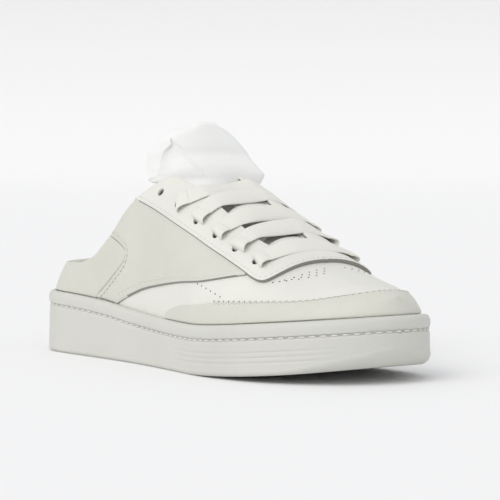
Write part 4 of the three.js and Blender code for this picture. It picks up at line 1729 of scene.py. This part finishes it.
@dataclass
class Perforations:
    """Punched pinholes: one row in each side and three rows at the vamp's front."""

    radius: float = 0.4

    def dots(self) -> list[tuple[float, float]]:
        """Finds the pinholes of one side.

        Returns:
            Places on the pattern, without a side's sign.
        """
        part = np.linspace(0, 1, 6)
        shares, turns = LAST.from_side(0.626 + 0.079 * part, 0.326 - 0.076 * part**1.2)
        side = [(share * LAST.length, turn * LAST.arc) for share, turn in zip(shares, turns)]
        front = []
        for k, ahead in enumerate((2.6, 5.4, 8.2)):
            for j in range(7 - k):
                share = 0.823 - 0.03 * ((6 - j) / 6) ** 4 + ahead / LAST.length
                turn = 0.47 - (j + 0.5 * k) * 0.066
                front.append((share * LAST.length, turn * LAST.arc))
        return side + front

    def make(self, dark: bpy.types.Material) -> None:
        """Builds the pinholes on both sides.

        Args:
            dark: Material inside a pinhole.
        """
        build = Build()
        for u, v in self.dots():
            for side in Side:
                pinhole(build, np.array([u, side.value * v]), self.radius)
        build.make("pinholes", [dark], Slot.VAMP, weld=0.001)


class Nodes:
    """Shader nodes of one material."""

    def __init__(self, name: str, roughness: float) -> None:
        """Starts a material with its shader and object coordinates.

        Args:
            name: Name of the material.
            roughness: Roughness of the shader.
        """
        self.material = bpy.data.materials.new(name)
        self.material.use_nodes = True
        self.tree = self.material.node_tree
        self.shader = self.tree.nodes["Principled BSDF"]
        self.shader.inputs["Roughness"].default_value = roughness
        self.place = self.add("ShaderNodeTexCoord").outputs["Object"]

    def add(self, kind: str, **values: object) -> bpy.types.Node:
        """Adds a node and sets its inputs or properties by name.

        Args:
            kind: Type of the node.
            values: Inputs, with underscores for spaces, or properties.

        Returns:
            The node.
        """
        node = self.tree.nodes.new(kind)
        for key, value in values.items():
            if hasattr(node, key):
                setattr(node, key, value)
            else:
                node.inputs[key.replace("_", " ")].default_value = value
        return node

    def link(self, source: bpy.types.NodeSocket, target: bpy.types.NodeSocket) -> None:
        """Joins an output to an input."""
        self.tree.links.new(source, target)

    def noise(self, scale: float, detail: float = 2.0, rough: float = 0.5) -> bpy.types.NodeSocket:
        """Noise over the object's coordinates.

        Args:
            scale: How fine it is.
            detail: How many finer layers it has.
            rough: Strength of the finer layers.

        Returns:
            The noise from 0 to 1.
        """
        node = self.add("ShaderNodeTexNoise", Scale=scale, Detail=detail, Roughness=rough)
        self.link(self.place, node.inputs["Vector"])
        return node.outputs["Fac"]

    def cells(self, scale: float) -> bpy.types.NodeSocket:
        """Cells of a grain.

        Args:
            scale: How fine they are.

        Returns:
            The distance to the nearest cell's middle.
        """
        node = self.add("ShaderNodeTexVoronoi", feature="SMOOTH_F1", Scale=scale, Smoothness=0.6)
        self.link(self.place, node.inputs["Vector"])
        return node.outputs["Distance"]

    def math(self, operation: str, a: bpy.types.NodeSocket,
             b: bpy.types.NodeSocket | float = 0.0) -> bpy.types.NodeSocket:
        """Sum of one or two values.

        Args:
            operation: Name of the sum.
            a: First value.
            b: Second value, where the sum has one.

        Returns:
            The result.
        """
        node = self.add("ShaderNodeMath", operation=operation)
        self.link(a, node.inputs[0])
        if isinstance(b, float):
            node.inputs[1].default_value = b
        else:
            self.link(b, node.inputs[1])
        return node.outputs[0]

    def tint(self, factor: bpy.types.NodeSocket, low: Tint, high: Tint,
             span: tuple[float, float] = (0.3, 0.7)) -> None:
        """Colours the shader between two tints.

        Args:
            factor: What chooses between them.
            low: Tint at the span's start.
            high: Tint at its end.
            span: Values of the factor at the two tints.
        """
        ramp = self.add("ShaderNodeValToRGB")
        for element, position, colour in zip(ramp.color_ramp.elements, span, (low, high)):
            element.position = position
            element.color = (*colour, 1.0)
        self.link(factor, ramp.inputs["Fac"])
        self.link(ramp.outputs["Color"], self.shader.inputs["Base Color"])

    def gloss(self, factor: bpy.types.NodeSocket, low: float, high: float) -> None:
        """Varies the roughness.

        Args:
            factor: What chooses between the two values.
            low: Roughness where the factor is low.
            high: Roughness where it is high.
        """
        span = self.add("ShaderNodeMapRange", From_Min=0.3, From_Max=0.7, To_Min=low, To_Max=high)
        self.link(factor, span.inputs["Value"])
        self.link(span.outputs["Result"], self.shader.inputs["Roughness"])

    def relief(self, *layers: tuple[bpy.types.NodeSocket, float]) -> None:
        """Bumps the surface with layers of height.

        Args:
            layers: Each a height from 0 to 1 and what it spans in millimetres.
        """
        normal = None
        for height, span in layers:
            bump = self.add("ShaderNodeBump", Strength=1.0, Distance=span * MM)
            self.link(height, bump.inputs["Height"])
            if normal is not None:
                self.link(normal, bump.inputs["Normal"])
            normal = bump.outputs["Normal"]
        self.link(normal, self.shader.inputs["Normal"])


def shaded(tint: Tint, factor: float) -> Tint:
    """A tint made darker or lighter."""
    red, green, blue = (min(value * factor, 1.0) for value in tint)
    return red, green, blue


@dataclass(frozen=True)
class LeatherFinish:
    """Smooth coated leather with a fine grain and soft wrinkles."""

    name: str
    tint: Tint
    roughness: float = 0.46
    grain: float = 0.05
    wrinkle: float = 0.16

    def material(self) -> bpy.types.Material:
        """Makes the material.

        Returns:
            The finished material.
        """
        nodes = Nodes(self.name, self.roughness)
        cloud = nodes.noise(28.0, 4.0, 0.6)
        nodes.tint(cloud, shaded(self.tint, 0.955), shaded(self.tint, 1.02))
        nodes.gloss(nodes.noise(60.0, 3.0), self.roughness - 0.06, self.roughness + 0.08)
        nodes.relief((nodes.noise(95.0, 3.0, 0.6), self.wrinkle), (nodes.cells(1250.0), self.grain),
                     (nodes.noise(2600.0, 2.0), 0.4 * self.grain))
        nodes.shader.inputs["Specular IOR Level"].default_value = 0.42
        nodes.shader.inputs["Sheen Weight"].default_value = 0.06
        return nodes.material


@dataclass(frozen=True)
class RubberFinish:
    """Matte moulded rubber with a faint skin texture."""

    name: str
    tint: Tint
    roughness: float = 0.6

    def material(self) -> bpy.types.Material:
        """Makes the material.

        Returns:
            The finished material.
        """
        nodes = Nodes(self.name, self.roughness)
        nodes.tint(nodes.noise(22.0, 3.0), shaded(self.tint, 0.96), shaded(self.tint, 1.02))
        nodes.gloss(nodes.noise(140.0, 2.0), self.roughness - 0.06, self.roughness + 0.06)
        nodes.relief((nodes.noise(1500.0, 3.0, 0.7), 0.03), (nodes.noise(45.0, 2.0), 0.08))
        nodes.shader.inputs["Specular IOR Level"].default_value = 0.35
        return nodes.material


@dataclass(frozen=True)
class KnitFinish:
    """Fine knitted lining cloth."""

    name: str
    tint: Tint
    pitch: float = 1.3

    def material(self) -> bpy.types.Material:
        """Makes the material.

        Returns:
            The finished material.
        """
        nodes = Nodes(self.name, 0.9)
        waves = []
        for axis in ("X", "Z"):
            wave = nodes.add("ShaderNodeTexWave", bands_direction=axis, Distortion=0.6, Detail=1.0,
                             Scale=2 * math.pi / (20 * self.pitch * MM))
            nodes.link(nodes.place, wave.inputs["Vector"])
            waves.append(wave.outputs["Fac"])
        weave = nodes.math("MULTIPLY", waves[0], waves[1])
        # The knit's low parts are painted darker: painted shade in the hollows between its loops.
        nodes.tint(weave, shaded(self.tint, 0.9), self.tint, (0.0, 0.6))
        nodes.relief((weave, 0.18), (nodes.noise(700.0, 2.0), 0.08))
        nodes.shader.inputs["Sheen Weight"].default_value = 0.25
        nodes.shader.inputs["Specular IOR Level"].default_value = 0.15
        return nodes.material


@dataclass(frozen=True)
class WovenFinish:
    """Flat woven lace with a chevron weave along its length."""

    name: str
    tint: Tint
    pitch: float = 1.25
    warp: float = 0.9

    def material(self) -> bpy.types.Material:
        """Makes the material.

        Returns:
            The finished material.
        """
        nodes = Nodes(self.name, 0.85)
        flat = nodes.add("ShaderNodeUVMap", uv_map="flat").outputs["UV"]
        split = nodes.add("ShaderNodeSeparateXYZ")
        nodes.link(flat, split.inputs[0])
        across = nodes.math("ABSOLUTE", split.outputs["Y"])
        slant = nodes.math("ADD", nodes.math("MULTIPLY", across, 0.8), split.outputs["X"])
        rib = nodes.math("SINE", nodes.math("MULTIPLY", slant, 2 * math.pi / (self.pitch * MM)))
        turns = nodes.math("MULTIPLY", split.outputs["Y"], 2 * math.pi / (self.warp * MM))
        warp = nodes.math("SINE", turns)
        weave = nodes.math("ADD", nodes.math("MULTIPLY", nodes.math("MULTIPLY", rib, warp), 0.25), 0.5)
        # The weave's low parts are painted darker: painted shade in the grooves between the yarns.
        nodes.tint(weave, shaded(self.tint, 0.9), shaded(self.tint, 1.01), (0.2, 0.7))
        nodes.relief((weave, 0.22), (nodes.noise(900.0, 2.0), 0.06))
        nodes.shader.inputs["Sheen Weight"].default_value = 0.2
        nodes.shader.inputs["Specular IOR Level"].default_value = 0.2
        return nodes.material


@dataclass(frozen=True)
class ThreadFinish:
    """Waxed sewing thread."""

    name: str
    tint: Tint

    def material(self) -> bpy.types.Material:
        """Makes the material.

        Returns:
            The finished material.
        """
        nodes = Nodes(self.name, 0.6)
        nodes.tint(nodes.noise(1400.0, 1.0), shaded(self.tint, 0.92), self.tint)
        nodes.relief((nodes.noise(2600.0, 1.0), 0.06))
        return nodes.material


@dataclass(frozen=True)
class ShadeFinish:
    """Unlit inside of a punched hole."""

    name: str
    tint: Tint

    def material(self) -> bpy.types.Material:
        """Makes the material.

        Returns:
            The finished material.
        """
        nodes = Nodes(self.name, 0.95)
        nodes.tint(nodes.noise(500.0, 1.0), shaded(self.tint, 0.8), self.tint)
        nodes.shader.inputs["Specular IOR Level"].default_value = 0.1
        return nodes.material


@dataclass
class Studio:
    """Pale floor that sweeps up into a backdrop, soft lights and the camera."""

    target: tuple[float, float, float] = (193.9, 0.0, 95.5)
    azimuth: float = 51.0
    elevation: float = 1.7
    distance: float = 1200.0
    aim: tuple[float, float] = (-0.0338, -0.0257)
    lens: float = 172.0
    floor_tint: Tint = (0.915, 0.915, 0.92)
    # Share of the floor's tint left high on the backdrop: painted shade.
    backdrop_painted_shade: float = 0.81
    sky_tint: Tint = (0.97, 0.98, 1.0)
    sky_strength: float = 0.76
    sun_tint: Tint = (1.0, 0.985, 0.95)
    sun_azimuth: float = 14.0
    sun_elevation: float = 44.0
    sun_spread: float = 45.0
    sun_strength: float = 1.15

    def direction(self, azimuth: float, elevation: float) -> Vector:
        """Direction from the shoe to a place round it.

        Args:
            azimuth: Degrees round the shoe.
            elevation: Degrees over the floor.

        Returns:
            The unit direction.
        """
        a = math.radians(azimuth)
        e = math.radians(elevation)
        return Vector((math.sin(a) * math.cos(e), -math.cos(a) * math.cos(e), math.sin(e)))

    def back(self) -> Vector:
        """Direction from the target to the camera."""
        return self.direction(self.azimuth, self.elevation)

    def camera(self) -> None:
        """Sets the camera at the photographed angle, framed on the shoe."""
        data = bpy.data.cameras.new("camera")
        data.lens = self.lens
        data.clip_start = 0.05
        data.clip_end = 60
        obj = bpy.data.objects.new("camera", data)
        back = self.back()
        right = Vector((0, 0, 1)).cross(back).normalized()
        up = back.cross(right)
        look = -back + right * self.aim[0] + up * self.aim[1]
        obj.location = (Vector(self.target) + back * self.distance) * MM
        obj.rotation_euler = look.to_track_quat("-Z", "Y").to_euler()
        bpy.context.scene.collection.objects.link(obj)
        bpy.context.scene.camera = obj

    def floor(self) -> None:
        """Makes the floor with its backdrop, painted darker with height as painted shade."""
        nodes = Nodes("studio_floor", 0.75)
        split = nodes.add("ShaderNodeSeparateXYZ")
        nodes.link(nodes.place, split.inputs[0])
        # The backdrop's darkening with height is painted shade, for the light falling off up the
        # backdrop.
        painted_shade_tint = shaded(self.floor_tint, self.backdrop_painted_shade)
        nodes.tint(split.outputs["Z"], self.floor_tint, painted_shade_tint, (0.02, 0.5))
        angles = np.linspace(0, np.pi / 2, 14)
        profile = [(-6.0, 0.0), (3.0, 0.0)]
        profile += [(3.0 + 1.5 * math.sin(t), 1.5 - 1.5 * math.cos(t)) for t in angles[1:]]
        profile += [(4.5, 6.0)]
        back = self.back()
        away = Vector((-back.x, -back.y, 0)).normalized()
        side = Vector((-away.y, away.x, 0))
        points = []
        for reach, height in profile:
            for across in (-8.0, 8.0):
                points.append(away * reach + side * across + Vector((0, 0, height)))
        faces = [(2 * k, 2 * k + 1, 2 * k + 3, 2 * k + 2) for k in range(len(profile) - 1)]
        mesh = bpy.data.meshes.new("studio_floor")
        mesh.from_pydata([tuple(p) for p in points], [], faces)
        for polygon in mesh.polygons:
            polygon.use_smooth = True
        mesh.materials.append(nodes.material)
        obj = bpy.data.objects.new("studio_floor", mesh)
        bpy.context.scene.collection.objects.link(obj)

    def sun(self) -> None:
        """Adds the broad soft light."""
        data = bpy.data.lights.new("soft_key", "SUN")
        data.energy = self.sun_strength
        data.angle = math.radians(self.sun_spread)
        data.color = self.sun_tint
        obj = bpy.data.objects.new("soft_key", data)
        back = self.direction(self.sun_azimuth, self.sun_elevation)
        obj.rotation_euler = (-back).to_track_quat("-Z", "Y").to_euler()
        bpy.context.scene.collection.objects.link(obj)

    def make(self) -> None:
        """Builds the studio."""
        self.camera()
        self.floor()
        world = bpy.data.worlds.new("studio")
        world.use_nodes = True
        background = world.node_tree.nodes["Background"]
        background.inputs["Color"].default_value = (*self.sky_tint, 1.0)
        background.inputs["Strength"].default_value = self.sky_strength
        bpy.context.scene.world = world
        self.sun()
        bpy.context.scene.view_settings.view_transform = "Standard"


def main() -> None:
    """Builds the shoe piece by piece and reports each."""
    logging.basicConfig(level=logging.INFO, format="%(name)s %(message)s")
    Studio().make()
    vamp = LeatherFinish("vamp_leather", (0.765, 0.757, 0.705)).material()
    # The side leather is the vamp's leather painted darker: painted shade on the sides, which face away
    # from the light above.
    panel = LeatherFinish("side_leather", (0.645, 0.643, 0.578)).material()
    tongue = LeatherFinish("tongue_leather", (0.85, 0.857, 0.84), wrinkle=0.3).material()
    # Dark cut edge material: the raw edge's colour, darkened further as painted shadow under the panels'
    # edges.
    cut = LeatherFinish("cut_edge_and_painted_shadow", (0.27, 0.262, 0.235), roughness=0.7).material()
    rubber = RubberFinish("sole_rubber", (0.63, 0.628, 0.585)).material()
    lining = KnitFinish("lining_knit", (0.78, 0.77, 0.73)).material()
    foam = RubberFinish("footbed_foam", (0.7, 0.69, 0.65), 0.8).material()
    weave = WovenFinish("lace_weave", (0.82, 0.81, 0.75)).material()
    thread = ThreadFinish("thread", (0.74, 0.73, 0.68)).material()
    dark = ShadeFinish("hole_shade", (0.035, 0.033, 0.03)).material()
    Sole().make(rubber, thread)
    Footbed().make(lining, foam)
    Shell().make(vamp, lining, panel)
    HeelCounter().make(panel, thread)
    Quarters().make(panel, cut, thread)
    ToeGuard().make(panel, thread, dark)
    LacePanel().make(vamp, cut, dark, thread)
    Tongue().make(tongue)
    Laces().make(weave)
    Perforations().make(dark)
    bpy.context.view_layer.update()


if __name__ == "__main__":
    main()
